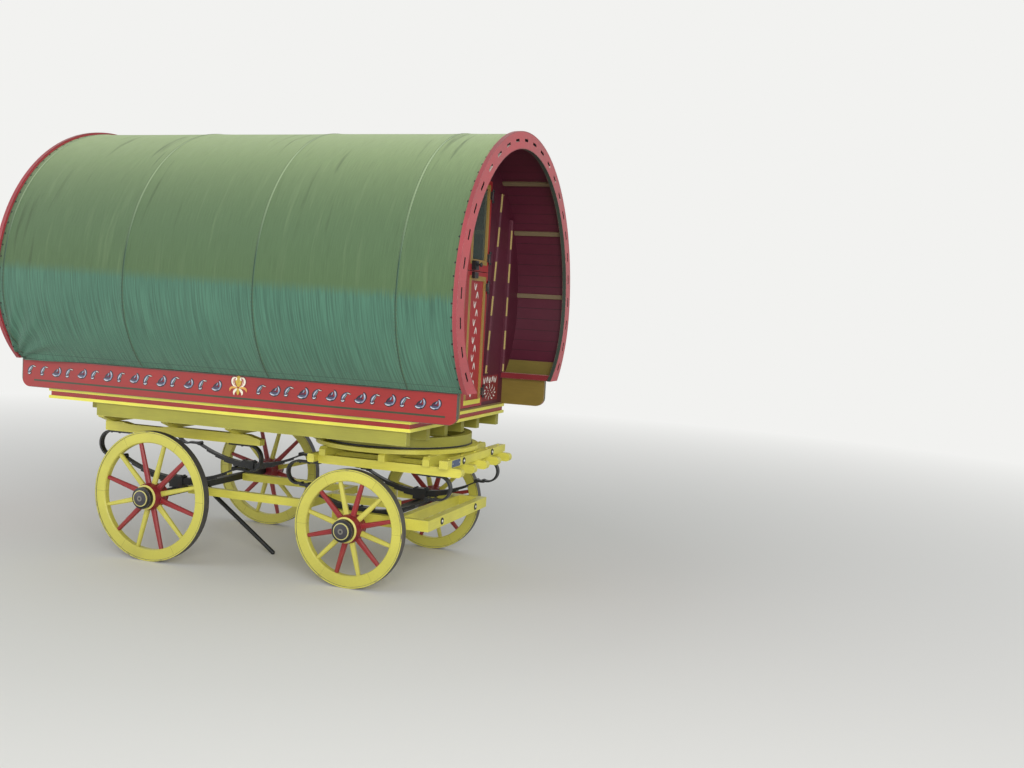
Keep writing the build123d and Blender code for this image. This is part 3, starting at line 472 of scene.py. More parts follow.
def wheel_coats(end, red_from):
    """Coats for the spokes with nave, the felloes and the tyre of the two wheels of one axle."""
    low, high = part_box(f"wheel_{end}_right_tyre")
    rim_low, rim_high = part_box(f"wheel_{end}_right_felloes")
    centre_x, centre_z = (low.x + high.x) / 2, (low.z + high.z) / 2
    rim_r = (rim_high.z - rim_low.z) / 2

    def polar(tree, place):
        """Turns round the axle, distance from it, and distance outwards from the tyre's side."""
        x, y, z = add(tree, "SeparateXYZ", [place]).outputs
        ahead = add(tree, "Math", [x, centre_x], operation="SUBTRACT")
        rise = add(tree, "Math", [z, centre_z], operation="SUBTRACT")
        angle = add(tree, "Math", [rise, ahead], operation="ARCTAN2")
        turns = add(tree, "Math", [angle, 2 * math.pi], operation="DIVIDE")
        flat = add(tree, "CombineXYZ", [ahead, rise, 0.0])
        radius = add(tree, "VectorMath", [flat], operation="LENGTH")
        side = add(tree, "Math", [y], operation="ABSOLUTE")
        return turns, radius, add(tree, "Math", [side, -low.y], operation="SUBTRACT")

    def spoke_coat(tree, place):
        turns, radius, outward = polar(tree, place)
        pair = share_of_pitch(tree, turns, 2 / SPOKES)
        spokes = banded(tree, pair, WHEEL_LEMON, ((red_from, red_from + 0.5, "#922226"),))
        nave = banded(tree, outward, "#84202a", NAVE_BANDS)
        nave = banded(tree, outward, nave, ((CAP_OUT, FAR, banded(tree, radius, nave, CAP_RINGS)),))
        return banded(tree, radius, spokes, ((0, NAVE_R, nave),))

    def felloe_coat(tree, place):
        joint = share_of_pitch(tree, polar(tree, place)[0], 1 / FELLOES)
        return banded(tree, joint, WHEEL_LEMON, ((0.0, FELLOE_JOINT, "#a09838"),
                                                 (1 - FELLOE_JOINT, FAR, "#a09838")))

    def tyre_coat(tree, place):
        """Worn tread; the tyre's side was painted over with the felloes, up to a dark joint."""
        radius = polar(tree, place)[1]
        sideways = add(tree, "Math", [face_leans(tree)["Y"]], operation="ABSOLUTE")
        side = banded(tree, radius, WHEEL_LEMON, ((0, rim_r + 2.5 * MM, "#3a3820"),
                                                  (centre_z - 2 * MM, FAR, "#6e6a3a")))
        return banded(tree, sideways, "#454341", ((0.7, FAR, side),))

    return spoke_coat, felloe_coat, tyre_coat


tyre_coats = {}
for end, red_from in (("rear", 0.5), ("front", 0.0)):
    spoke_coat, felloe_coat, tyre_coats[end] = wheel_coats(end, red_from)
    paints[f"{end}_spokes"] = painted_timber(f"gloss_paint_{end}_spokes", spoke_coat, "#d8b0a0",
                                             along=2, wear=0.45)
    paints[f"{end}_felloes"] = painted_timber(f"gloss_paint_{end}_felloes", felloe_coat, PALE_LEMON, along=1)
print("wheel paints for two axles")

# %% [markdown]
# ## Iron, glass and bare boards
# Springs and scroll irons are forged, so they are faintly hammered under black paint, with brown
# rust where it has gone. The tyres are iron rubbed by the road. Old drawn glass ripples, so what
# it mirrors wavers. The floor is unpainted deal, scrubbed dull, with boards of unlike tone.

# %% Iron, glass and boards
HAMMER_MM = 18
RUST_MM = 60
RIPPLE_MM = 160
DECK_BOARD = 145 * MM


def black_iron(name, coat, worn, rust, rough):
    """Painted wrought iron: hammer marks, rust in patches, and rubbed edges."""
    material, tree, shader, place = new_material(name)
    hammer = add(tree, "TexVoronoi", {"Vector": place, "Scale": 1 / (HAMMER_MM * MM)},
                 feature="SMOOTH_F1")
    cloud = add(tree, "TexNoise", {"Vector": place, "Scale": 1 / (RUST_MM * MM), "Detail": 6.0})
    rusty = add(tree, "MapRange", [cloud, 0.56, 0.72])
    colour = coat(tree, place) if callable(coat) else coat
    colour = add(tree, "Mix", {0: rusty, 6: colour, 7: rust}, data_type="RGBA")
    edge = add(tree, "Math", [rubbed_edge(tree, 3 * MM), 0.5], operation="MULTIPLY")
    colour = add(tree, "Mix", {0: edge, 6: colour, 7: worn}, data_type="RGBA")
    gloss = add(tree, "MapRange", [cloud, 0.0, 1.0, rough - 0.1, rough + 0.15])
    bump = add(tree, "Bump", {"Height": hammer, "Strength": 0.3, "Distance": 0.8 * MM})
    feed(tree, shader, {"Base Color": colour, "Roughness": gloss, "Normal": bump})
    return material


paints["iron"] = black_iron("painted_wrought_iron", BLACK, "#4a4e52", "#2c211b", 0.42)
for end, tyre_coat in tyre_coats.items():
    paints[f"{end}_tyre"] = black_iron(f"rubbed_tyre_iron_{end}", tyre_coat, "#a39f94", "#5c5348", 0.5)

paints["glass"], tree, shader, place = new_material("window_glass")
ripple = add(tree, "TexNoise", {"Vector": place, "Scale": 1 / (RIPPLE_MM * MM)})
bump = add(tree, "Bump", {"Height": ripple, "Strength": 0.25, "Distance": 1.5 * MM})
feed(tree, shader, {"Base Color": "#4c5a54", "Roughness": 0.06, "IOR": 1.5, "Alpha": 0.82, "Normal": bump})


def deck_coat(tree, place):
    """Boards laid across the wagon, with a dark joint between them and red paint on their ends."""
    x, y, z = add(tree, "SeparateXYZ", [place]).outputs
    joint = share_of_pitch(tree, x, DECK_BOARD)
    board = add(tree, "Math", [x, DECK_BOARD], operation="DIVIDE")
    board = add(tree, "Math", [board], operation="FLOOR")
    tone = add(tree, "TexWhiteNoise", {"W": board}, noise_dimensions="1D")
    wood = add(tree, "Mix", {0: tone, 6: "#8d7450", 7: "#6f5a3c"}, data_type="RGBA")
    boards = banded(tree, joint, wood, ((0.0, 0.03, "#2e2418"),))
    edge = add(tree, "Math", [y], operation="ABSOLUTE")
    return banded(tree, edge, boards, ((deck_high.y - 3 * MM, FAR, RED),))


paints["deck"] = painted_timber("scrubbed_deal_boards", deck_coat, "#a8926c", along=1, rough=0.72, wear=0.4)
print("all finishes", len(paints))

# %% [markdown]
# ## Painting the frame
# Every timber and iron of the frame gets one finish. The table lists the pieces by finish, as a
# painter works: everything that takes one pot of paint, then the next pot.

# %% Give every node its finish
finishes = {
    "crown": "crown_board rear_arch_board",
    "slate": "bows canvas_cover",
    "red_long": "bed_frame",
    "red_upright": "rear_wall",
    "ochre": "rear_window_sash",
    "lemon_bright": "bed_mouldings",
    "lemon_long": "rear_side_beams reach fore_long_bars",
    "lemon_cross": "cross_bearers turntable_lower fore_cross_bars splinter_bar lower_frame",
    # Painted shade: lemon darkened to olive for the timbers under the body.
    "olive": "joists sills turntable_upper",
    "side_board": "side_boards",
    "rail": "wall_plates",
    "lining": "lining",
    "stringers": "stringers",
    "deck": "floor_deck",
    "wall": "front_wall",
    "posts": "front_posts",
    "door_lower": "door_lower_left door_lower_right",
    "door_upper": "door_upper_left door_upper_right",
    "glass": "rear_window_glass door_glass_left door_glass_right",
    "iron": "rear_springs rear_scroll_irons rear_axle front_springs front_scroll_irons front_axle"
            " turntable_iron kingpin shaft_washers door_latch sprag_pole",
}
for end in ("rear", "front"):
    for part in ("tyre", "felloes", "spokes"):
        finishes[f"{end}_{part}"] = f"wheel_{end}_right_{part} wheel_{end}_left_{part}"
painted = 0
for finish, nodes in finishes.items():
    for node in nodes.split():
        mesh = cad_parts[node].data
        if not mesh.materials:
            mesh.materials.append(None)
        for n in range(len(mesh.materials)):
            mesh.materials[n] = paints[finish]
        painted += 1
print("nodes painted", painted, "of", len(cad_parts))

# %% [markdown]
# ## The canvas
# The cover is one proofed cotton sheet, drawn tight over the hoops and tacked down at both ends
# and along its foot. It rides up in a low ridge over each seam, dips a little between them, and
# falls in fine pleats towards the tacked foot. A cloth simulation could find such folds, but a
# taut sheet has few of them, and they lie in known places. So a grid that follows the arch
# carries them, worked out by a formula.

# %% How the canvas lies
cover_low, cover_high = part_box("canvas_cover")
SEAM_XS = (-1.735, -0.69, 0.35, 1.39)
RIDGE_HIGH, RIDGE_WIDE = 3.0 * MM, 12 * MM
SWELL_HIGH, SWELL_WIDE = 2.4 * MM, 90 * MM
PLEAT_DEEP = 0.55 * MM
SLACK = 1.1
# columns: corner along X, reach of the gather, its depth in mm
GATHERS = ((cover_low.x, 0.62, 22.0), (cover_high.x, 0.3, 3.5))
mean_r = cover_high.y - 3.2 * MM
foot_r = mean_r - arch_shift
top_run = mean_r * math.pi / 2
foot_run = top_run + foot_r * math.asin((arch_z - cover_low.z) / foot_r)


def arch_at(run):
    """Y, Z, the outward angle and the side, at a distance round the hoop from its crown."""
    side = 1 if run >= 0 else -1
    run = abs(run)
    if run < top_run:
        turn = math.pi / 2 - run / mean_r
        return side * mean_r * math.cos(turn), arch_z + mean_r * math.sin(turn), turn, side
    turn = (top_run - run) / foot_r
    return side * (arch_shift + foot_r * math.cos(turn)), arch_z + foot_r * math.sin(turn), turn, side


def smooth(value, start, stop):
    """Rise smoothly from 0 at start to 1 at stop."""
    t = min(max((value - start) / (stop - start), 0.0), 1.0)
    return t * t * (3 - 2 * t)


def canvas_lift(x, run):
    """How far the sheet stands off its mean radius."""
    seam = min(abs(x - at) for at in SEAM_XS)
    lift = RIDGE_HIGH * math.exp(-(seam / RIDGE_WIDE) ** 2) + SWELL_HIGH * math.exp(-(seam / SWELL_WIDE) ** 2)
    pleat = math.sin(2 * math.pi * x / 0.047 + 1.7 * math.sin(2 * math.pi * x / 0.61))
    pleat += 0.6 * math.sin(2 * math.pi * x / 0.031 + 0.9 * math.sin(5.1 * x + 2.2 * run))
    lift += PLEAT_DEEP * smooth(abs(run), 0.55 * foot_run, foot_run) * pleat
    # The cloth is gathered to the lower corners, most of all at the rear.
    for corner_x, spread, deep in GATHERS:
        ahead, up = abs(x - corner_x), foot_run - abs(run)
        far = math.hypot(ahead, up)
        if far < spread:
            fan = (0.5 + 0.5 * math.sin(15 * math.atan2(up, ahead + 0.02) + 2.5 * far / spread)) ** 1.6
            lift += deep * MM * fan * smooth(far, 0.0, 0.06) * (1 - smooth(far, 0.3 * spread, spread))
    slack = SLACK * math.sin(3.1 * x + 1.3 * run) * math.sin(1.7 * x - 2.3 * run)
    return lift + slack * MM


def on_canvas(x, run, off=0.0):
    """Point on the canvas or a little off it, with the turn that stands a shape on the cloth."""
    y, z, turn, side = arch_at(run)
    lift = canvas_lift(x, run) + off
    point = (x, y + side * lift * math.cos(turn), z + lift * math.sin(turn))
    return point, side * (math.pi / 2 - turn)


print("from crown to foot", round(foot_run, 3), "m")

# %% [markdown]
# ## The sheet
# A grid of quads takes its height from the formula, and Solidify gives it the thickness of the
# cloth. Its UV map holds metres along the wagon and round the hoop, so weave and streaks follow
# the cloth, not the room.

# %% Canvas sheet
CANVAS_THICK = 2 * MM
COLUMNS = 300
ROWS = 132
CROWDING = 1.2
points, uvs = [], []
for row in range(ROWS + 1):
    # Rows lie closer together towards the two feet, where the pleats are.
    run = foot_run * math.sin((2 * row / ROWS - 1) * CROWDING) / math.sin(CROWDING)
    for column in range(COLUMNS + 1):
        x = cover_low.x + (cover_high.x - cover_low.x) * column / COLUMNS
        points.append(on_canvas(x, run)[0])
        uvs.append((x, run))
wide = COLUMNS + 1
faces = [(r * wide + c, (r + 1) * wide + c, (r + 1) * wide + c + 1, r * wide + c + 1)
         for r in range(ROWS) for c in range(COLUMNS)]
canvas_mesh = bpy.data.meshes.new("canvas_sheet")
canvas_mesh.from_pydata(points, [], faces)
layer = canvas_mesh.uv_layers.new(name="cloth")
for loop in canvas_mesh.loops:
    layer.data[loop.index].uv = uvs[loop.vertex_index]
canvas_mesh.polygons.foreach_set("use_smooth", [True] * len(faces))
canvas = bpy.data.objects.new("canvas_sheet", canvas_mesh)
scene.collection.objects.link(canvas)
if canvas_mesh.polygons[len(faces) // 2].normal.z < 0:
    canvas_mesh.flip_normals()
skin = canvas.modifiers.new("thickness", "SOLIDIFY")
skin.thickness = CANVAS_THICK
skin.offset = -1

# %% [markdown]
# ## Proofed cotton
# Cotton duck proofed with oil and wax is matt and close-woven. Its upper part is olive green,
# painted paler towards the crown of the barrel as painted light, where the light falls on it; the
# turned-under flank is teal, painted with shade and light along its pleats. Water has left
# streaks and moss between, and a darker band lies above the tone line. An even colour with a weave
# would look new. So each of these marks is one noise, drawn out along the fall of the cloth.

# %% Proofed cotton
# Real threads, 0.5 mm apart, would not show at this distance, so the weave is drawn coarser.
THREAD_MM = 2.4
FIBRE_MM = 5
PLEAT_MM = 10
STREAK_MM = 70
CLOUD_MM = 600
TONE_Z = 2.09
TONE_TILT = 0.022
TONE_SOFT = 0.035
DARK_BAND_HIGH = 0.34
SEAM_LIT_FROM, SEAM_LIT_TO = 2.25, 2.95


def canvas_cloth():
    material, tree, shader, place = new_material("proofed_cotton_canvas")
    uv = add(tree, "UVMap", uv_map="cloth")
    x, y, z = add(tree, "SeparateXYZ", [place]).outputs
    fall = add(tree, "Mapping", {"Vector": uv, "Scale": (1.0, 0.03, 1.0)})
    fine = add(tree, "TexNoise", {"Vector": fall, "Scale": 1 / (FIBRE_MM * MM), "Detail": 3.0})
    # The pleats below the tone line lean back a little, as the sheet was pulled down and forward.
    lean = add(tree, "Mapping", {"Vector": uv, "Rotation": (0, 0, math.radians(-6))})
    lean = add(tree, "Mapping", {"Vector": lean, "Scale": (1.0, 0.022, 1.0)})
    pleats = add(tree, "TexNoise", {"Vector": lean, "Scale": 1 / (PLEAT_MM * MM), "Detail": 2.0})
    broad = add(tree, "Mapping", {"Vector": uv, "Scale": (1.0, 0.07, 1.0)})
    broad = add(tree, "TexNoise", {"Vector": broad, "Scale": 1 / (STREAK_MM * MM), "Detail": 4.0})
    cloud = add(tree, "TexNoise", {"Vector": uv, "Scale": 1 / (CLOUD_MM * MM), "Detail": 5.0})

    # The tone line rises a little towards the rear, and it is frayed by the fibres.
    jitter = add(tree, "MapRange", [fine, 0.0, 1.0, -0.07, 0.07])
    tilt = add(tree, "Math", [x, TONE_TILT], operation="MULTIPLY")
    level = add(tree, "Math", [z, tilt], operation="ADD")
    level = add(tree, "Math", [level, jitter], operation="ADD")
    upper = add(tree, "MapRange", [level, TONE_Z - TONE_SOFT, TONE_Z + TONE_SOFT])
    # Painted light: the crown of the hoop is painted far paler than its flanks, as if lit from above.
    high = add(tree, "MapRange", [z, TONE_Z + 0.1, cover_high.z])
    high = add(tree, "Math", [high, 3.0], operation="POWER")
    crown_painted_light = add(tree, "Mix", {0: high, 6: "#55704b", 7: "#c2d896"}, data_type="RGBA")
    teal = add(tree, "Mix", {0: cloud, 6: "#3f6c57", 7: "#527f68"}, data_type="RGBA")
    colour = add(tree, "Mix", {0: upper, 6: teal, 7: crown_painted_light}, data_type="RGBA")
    # A darker, greener band lies just above the tone line, where the sheet turns under.
    darker_band = add(tree, "MapRange", [level, TONE_Z + DARK_BAND_HIGH, TONE_Z, 0.0, 0.45])
    mossy = add(tree, "MapRange", [broad, 0.62, 0.76, 0.0, 0.65])
    chalky = add(tree, "MapRange", [broad, 0.42, 0.25, 0.0, 0.16])
    for share, mark in ((darker_band, "#4c683a"), (mossy, "#3a4c2b"), (chalky, "#a3b98a")):
        share = add(tree, "Math", [share, upper], operation="MULTIPLY")
        colour = add(tree, "Mix", {0: share, 6: colour, 7: mark}, data_type="RGBA")
    # Painted shade and light: below the tone line the pleats darken and lighten the cloth in streaks.
    pleat_shading = add(tree, "MapRange", [pleats, 0.32, 0.62, 0.68, 1.1])
    pleat_shading = add(tree, "Mix", {0: upper, 2: pleat_shading, 3: 0.97})
    threads = add(tree, "MapRange", [fine, 0.3, 0.7, 0.88, 1.08])
    shade = add(tree, "Math", [pleat_shading, threads], operation="MULTIPLY")
    colour = add(tree, "HueSaturation", {"Color": colour, "Value": shade})

    # High up, a seam and the strip beside it are painted pale, a painted highlight where the seam
    # catches the light; low down they are painted dark, painted shade along the seam. The hem's
    # stitching is one dark line.
    lit = add(tree, "MapRange", [z, SEAM_LIT_FROM, SEAM_LIT_TO])
    seam = add(tree, "Mix", {0: lit, 6: "#294434", 7: "#a6bb8c"}, data_type="RGBA")
    beside = add(tree, "Mix", {0: lit, 6: "#4a6a50", 7: "#a9bd92"}, data_type="RGBA")
    for at in SEAM_XS:
        colour = banded(tree, x, colour, ((at - 4.5 * MM, at + 3 * MM, seam),
                                          (at + 3 * MM, at + 8 * MM, beside)))
    colour = banded(tree, z, colour, ((cover_low.z + 34 * MM, cover_low.z + 38 * MM, "#345a48"),))
    weave = add(tree, "TexWave", {"Vector": uv, "Scale": 1 / (THREAD_MM * MM * math.pi),
                                            "Distortion": 0.4}).outputs["Fac"]
    relief = add(tree, "Math", [pleats, 3.0], operation="MULTIPLY")
    relief = add(tree, "Math", [relief, fine], operation="ADD")
    relief = add(tree, "Math", [relief, weave], operation="ADD")
    bump = add(tree, "Bump", {"Height": relief, "Strength": 0.5, "Distance": 1.2 * MM})
    feed(tree, shader, {"Base Color": colour, "Roughness": 0.82, "Sheen Weight": 0.15, "Normal": bump})
    return material


canvas_mesh.materials.append(canvas_cloth())
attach(canvas, "wagon")
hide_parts("canvas_cover")
print("tone line", TONE_Z, "m above the ground")

# %% [markdown]
# ## Copies set out by rule
# Ornament, bolts, tacks and stitches repeat by the dozen, so one shape is made once and set out
# on a list of places, each with its own turn and size. A node tree does the setting out, and the
# result is turned into a plain mesh that rides on one part of the wagon.

# %% Node tree that sets out copies
def copying_tree():
    tree = bpy.data.node_groups.new("copies_on_places", "GeometryNodeTree")
    for name, kind in (("Geometry", "NodeSocketGeometry"), ("Shape", "NodeSocketObject"),
                       ("Size", "NodeSocketFloat"), ("Finish", "NodeSocketMaterial")):
        tree.interface.new_socket(name, in_out="INPUT", socket_type=kind)
    tree.interface.new_socket("Geometry", in_out="OUTPUT", socket_type="NodeSocketGeometry")
    given = add(tree, "NodeGroupInput").outputs
    dots = add(tree, "GeometryNodeMeshToPoints", {"Mesh": given["Geometry"]})
    shape = add(tree, "GeometryNodeObjectInfo", {"Object": given["Shape"]}).outputs["Geometry"]
    turn = add(tree, "GeometryNodeInputNamedAttribute", {"Name": "turn"}, data_type="FLOAT_VECTOR")
    grow = add(tree, "GeometryNodeInputNamedAttribute", {"Name": "grow"}, data_type="FLOAT")
    scale = add(tree, "Math", [grow, given["Size"]], operation="MULTIPLY")
    copies = add(tree, "GeometryNodeInstanceOnPoints",
                 {"Points": dots, "Instance": shape, "Rotation": turn, "Scale": scale})
    solid = add(tree, "GeometryNodeRealizeInstances", {"Geometry": copies})
    done = add(tree, "GeometryNodeSetMaterial", {"Geometry": solid, "Material": given["Finish"]})
    add(tree, "NodeGroupOutput", {"Geometry": done})
    return tree


COPIES = copying_tree()
KEYS = {item.name: item.identifier for item in COPIES.interface.items_tree if item.in_out == "INPUT"}


def fasten(piece, body):
    """Link a finished piece and let it ride on a body."""
    scene.collection.objects.link(piece)
    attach(piece, body)
    return piece


def set_out(name, shape, places, finish, body, size=1.0):
    """Copies of shape on places of (point, turn, size), as one plain mesh on one body."""
    spots, turns, sizes = zip(*places)
    dots = bpy.data.meshes.new(name + "_places")
    dots.from_pydata(spots, [], [])
    turn = dots.attributes.new("turn", "FLOAT_VECTOR", "POINT")
    turn.data.foreach_set("vector", [angle for angles in turns for angle in angles])
    grow = dots.attributes.new("grow", "FLOAT", "POINT")
    grow.data.foreach_set("value", sizes)
    seed = bpy.data.objects.new(name + "_seed", dots)
    scene.collection.objects.link(seed)
    modifier = seed.modifiers.new("copies", "NODES")
    modifier.node_group = COPIES
    modifier[KEYS["Shape"]] = shape
    modifier[KEYS["Size"]] = size
    modifier[KEYS["Finish"]] = finish
    seed_now = seed.evaluated_get(bpy.context.evaluated_depsgraph_get())
    piece = bpy.data.objects.new(name, bpy.data.meshes.new_from_object(seed_now))
    bpy.data.objects.remove(seed)
    print(name, len(places), "copies", len(piece.data.polygons), "faces")
    return fasten(piece, body)


FACING = {"right": (90, 0, 0), "left": (90, 0, 180), "front": (90, 0, 90),
          "up": (0, 0, 0), "down": (180, 0, 0)}


def facing(side, spin=0):
    """Turn that lays a shape drawn in X and Y on a face of the wagon, spun in its own plane."""
    base = Euler([math.radians(angle) for angle in FACING[side]]).to_matrix()
    return tuple((base @ Matrix.Rotation(math.radians(spin), 3, "Z")).to_euler())


def tube_faces(first, rings, sides):
    """Faces round a tube of rings of points, closed at both ends."""
    last = first + (rings - 1) * sides
    return [(k + n, k + (n + 1) % sides, k + sides + (n + 1) % sides, k + sides + n)
            for k in range(first, last, sides) for n in range(sides)] \
        + [[first + n for n in reversed(range(sides))], [last + n for n in range(sides)]]


# %% [markdown]
# ## Painted ornament
# The ornament is laid on freehand with a long-haired brush. Each stroke swells and tapers, and
# darker strokes are laid first, so a lighter one stands a hair's breadth above them. A stroke is
# a curve with four control points and a width, and a motif is a short list of strokes. Its
# colours are kept in the mesh, so one enamel serves all of it: glossy, and thin where it is worn.

# %% Brush strokes and enamel
STROKE_STEPS = 9
COAT_THICK = 0.35 * MM
ENAMEL_WEAR_MM = 11


def curve_point(controls, t):
    a, b, c, d = controls
    return a * (1 - t) ** 3 + b * 3 * t * (1 - t) ** 2 + c * 3 * t * t * (1 - t) + d * t**3


def motif(name, strokes):
    """A flat shape facing +Z from strokes of (four control points in mm, width in mm, colour)."""
    points, faces, colours = [], [], []
    for coat, (controls, wide, code) in enumerate(strokes):
        controls = [Vector(point) * MM for point in controls]
        left, right = [], []
        for n in range(1, STROKE_STEPS):
            t = n / STROKE_STEPS
            along = (curve_point(controls, t + 0.02) - curve_point(controls, t - 0.02)).normalized()
            out = Vector((-along.y, along.x)) * wide * MM / 2 * math.sin(math.pi * t) ** 0.6
            left.append(curve_point(controls, t) + out)
            right.append(curve_point(controls, t) - out)
        outline = [controls[0]] + right + [controls[3]] + left[::-1]
        faces += tube_faces(len(points), 2, len(outline))
        points += [(p.x, p.y, z) for z in (0, COAT_THICK * (coat + 1)) for p in outline]
        colours += [paint(code)] * (len(outline) + 2)
    mesh = bpy.data.meshes.new(name)
    mesh.from_pydata(points, [], faces)
    layer = mesh.color_attributes.new("coat", "FLOAT_COLOR", "CORNER")
    for polygon, colour in zip(mesh.polygons, colours):
        for loop in polygon.loop_indices:
            layer.data[loop].color = colour
    shape = bpy.data.objects.new(name, mesh)
    scene.collection.objects.link(shape)
    return shape


def mirrored(strokes):
    """Strokes and their mirror images left to right."""
    return [([(side * x, y) for x, y in controls], wide, code)
            for controls, wide, code in strokes for side in (-1, 1)]


enamel, tree, shader, place = new_material("sign_writers_enamel")
coat = add(tree, "Attribute", attribute_name="coat").outputs["Color"]
worn = add(tree, "TexNoise", {"Vector": place, "Scale": 1 / (ENAMEL_WEAR_MM * MM), "Detail": 4.0})
level = add(tree, "MapRange", [worn, 0.3, 0.7, 0.8, 1.08])
coat = add(tree, "HueSaturation", {"Color": coat, "Value": level})
feed(tree, shader, {"Base Color": coat, "Roughness": 0.35})
print("a stroke has", 2 * STROKE_STEPS, "points round it")

# %% [markdown]
# ## Motifs for the side boards
# Along each side board runs a row of leaves, some standing and some lying, with a fleur in a gap
# near the middle. A stencil would make them all alike, but each was painted by eye, so every
# copy is tilted, raised and sized a little by chance.

# %% Motifs for the side boards
INK, BLUE_GREY, SILVER, CREAM = "#1c1f28", "#6d7290", "#d4d8de", "#f0e8d2"
standing_leaf = motif("standing_leaf", [
    ([(-26, -36), (-32, -8), (-8, 8), (8, 34)], 34, INK),
    ([(-2, 24), (12, 34), (24, 20), (40, 24)], 15, INK),
    ([(-38, -26), (-30, -40), (-8, -40), (-2, -16)], 16, INK),
    ([(-23, -30), (-27, -6), (-6, 8), (6, 29)], 23, BLUE_GREY),
    ([(-28, -20), (-22, -2), (-10, 10), (-2, 22)], 5, SILVER),
    ([(-20, -26), (-16, -8), (-2, 6), (6, 24)], 5, INK),
    ([(-12, -16), (-8, -4), (2, 6), (8, 20)], 5, "#7f9c98"),
    ([(-33, -29), (-26, -37), (-12, -35), (-8, -24)], 7, SILVER),
    ([(6, 27), (15, 30), (24, 21), (37, 24)], 5, "#e8ddd0")])
lying_leaf = motif("lying_leaf", [
    ([(-44, -20), (-22, -32), (16, -36), (40, -4)], 33, INK),
    ([(24, -24), (40, -4), (36, 22), (16, 38)], 25, INK),
    ([(-30, -16), (-12, -8), (4, 0), (14, 24)], 28, INK),
    ([(-38, -21), (-20, -30), (13, -32), (34, -6)], 18, BLUE_GREY),
    ([(27, -18), (36, -2), (32, 18), (19, 32)], 14, "#8b8fa6"),
    ([(-38, -24), (-26, -34), (-10, -37), (4, -32)], 6, SILVER),
    ([(8, -32), (18, -30), (26, -24), (32, -12)], 4, "#a9acc0"),
    ([(-26, -22), (-8, -24), (10, -24), (24, -10)], 5, INK),
    ([(31, 2), (34, 10), (30, 20), (22, 29)], 4, SILVER),
    ([(-18, -14), (-9, -4), (4, -4), (14, -12)], 13, "#5a1640"),
    ([(0, -2), (6, 4), (10, 11), (12, 20)], 9, "#8b8fa6")])
fleur = motif("fleur", mirrored([
    ([(-4, -14), (-58, -4), (-66, 62), (-20, 68)], 31, "#6f1f20"),
    ([(0, -8), (-18, 20), (-14, 52), (0, 74)], 24, "#c9a83a"),
    ([(-8, -10), (-52, 0), (-59, 56), (-24, 61)], 23, CREAM),
    ([(-26, 61), (-13, 57), (-13, 42), (-27, 40)], 12, CREAM),
    ([(-14, -4), (-42, 6), (-49, 44), (-31, 51)], 4, "#b84a4a"),
    ([(-2, -16), (-38, -6), (-70, -8), (-66, -40)], 16, "#d9a24a"),
    ([(-4, -18), (-20, -26), (-42, -40), (-30, -64)], 17, CREAM),
    ([(0, -14), (-8, -30), (-6, -46), (0, -62)], 12, "#c9a83a")]))

LEAF_Z = 1.360
# columns: first place along X, last place, order of standing (s) and lying (l) leaves
ROWS_OF_LEAVES = ((-1.712, -0.087, "sslslslslslslsl"), (0.273, 1.580, "slslslslslsll"))
FLEUR_X, FLEUR_Z = 0.090, 1.366
BOARD_FACES = (("right", -board_high.y), ("left", board_high.y))
leaves = [(first + (last - first) * n / (len(order) - 1), letter)
          for first, last, order in ROWS_OF_LEAVES for n, letter in enumerate(order)]
random.seed(7)
for shape in (standing_leaf, lying_leaf):
    places = [((x, y, LEAF_Z + random.uniform(-3, 3) * MM), facing(side, random.uniform(-5, 5)),
               random.uniform(0.94, 1.04))
              for side, y in BOARD_FACES for x, letter in leaves if letter == shape.name[0]]
    set_out("board_" + shape.name, shape, places, enamel, "wagon")
places = [((FLEUR_X, y, FLEUR_Z), facing(side), 1.0) for side, y in BOARD_FACES]
set_out("board_fleurs", fleur, places, enamel, "wagon")

# %% [markdown]
# ## Ornament of the front
# Down each lower panel run thirteen quick white ticks, pointing down and up in turn. The dark red
# field beside the foot of each door has a zigzag of ticks over a loose flower of two rings.

# %% Ornament of the front
WHITE = "#efece2"
TICKS, TICK_SIZE = 13, 1.35
TICKS_FOOT, TICKS_HEAD = 105 * MM, 110 * MM
# columns: how far a tick stands to the wagon's right, its spin; the even ones, then the odd ones
TICK_SWAYS = ((18 * MM, 0), (-22 * MM, 180))
PANEL_PROUD = 6 * MM
ZIGZAG, ZIGZAG_Y, ZIGZAG_STEP, ZIGZAG_Z = 5, 0.490, 62 * MM, 1.434
FLOWER_Y, FLOWER_Z = 0.622, 1.335
FLOWER_WIDE, FLOWER_HIGH = 115 * MM, 46 * MM
# columns: share of the flower's width, petals, size of a petal
FLOWER_RINGS = ((1.0, 11, 1.15), (0.42, 5, 0.8))
tick = motif("tick", [([(-17, 20), (-12, -2), (-6, -16), (0, -22)], 11, WHITE),
                      ([(0, -22), (5, -8), (10, 8), (19, 17)], 9, WHITE)])
petal = motif("petal", [([(-2, -16), (12, -8), (10, 8), (-4, 18)], 8, WHITE)])
for side, sign in (("left", 1), ("right", -1)):
    low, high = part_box(f"door_lower_{side}")
    panel_x = (low.x + DOOR_FACE_X) / 2 + PANEL_PROUD
    head_z, foot_z = high.z - TICKS_HEAD, low.z + TICKS_FOOT
    places = []
    for n in range(TICKS):
        sway, spin = TICK_SWAYS[n % 2]
        y = sign * (DOOR_MEETING + DOOR_HALF) / 2 - sway
        z = head_z + (foot_z - head_z) * n / (TICKS - 1)
        places.append(((panel_x, y, z), facing("front", spin), TICK_SIZE))
    set_out(f"door_ticks_{side}", tick, places, enamel, f"door_lower_{side}")

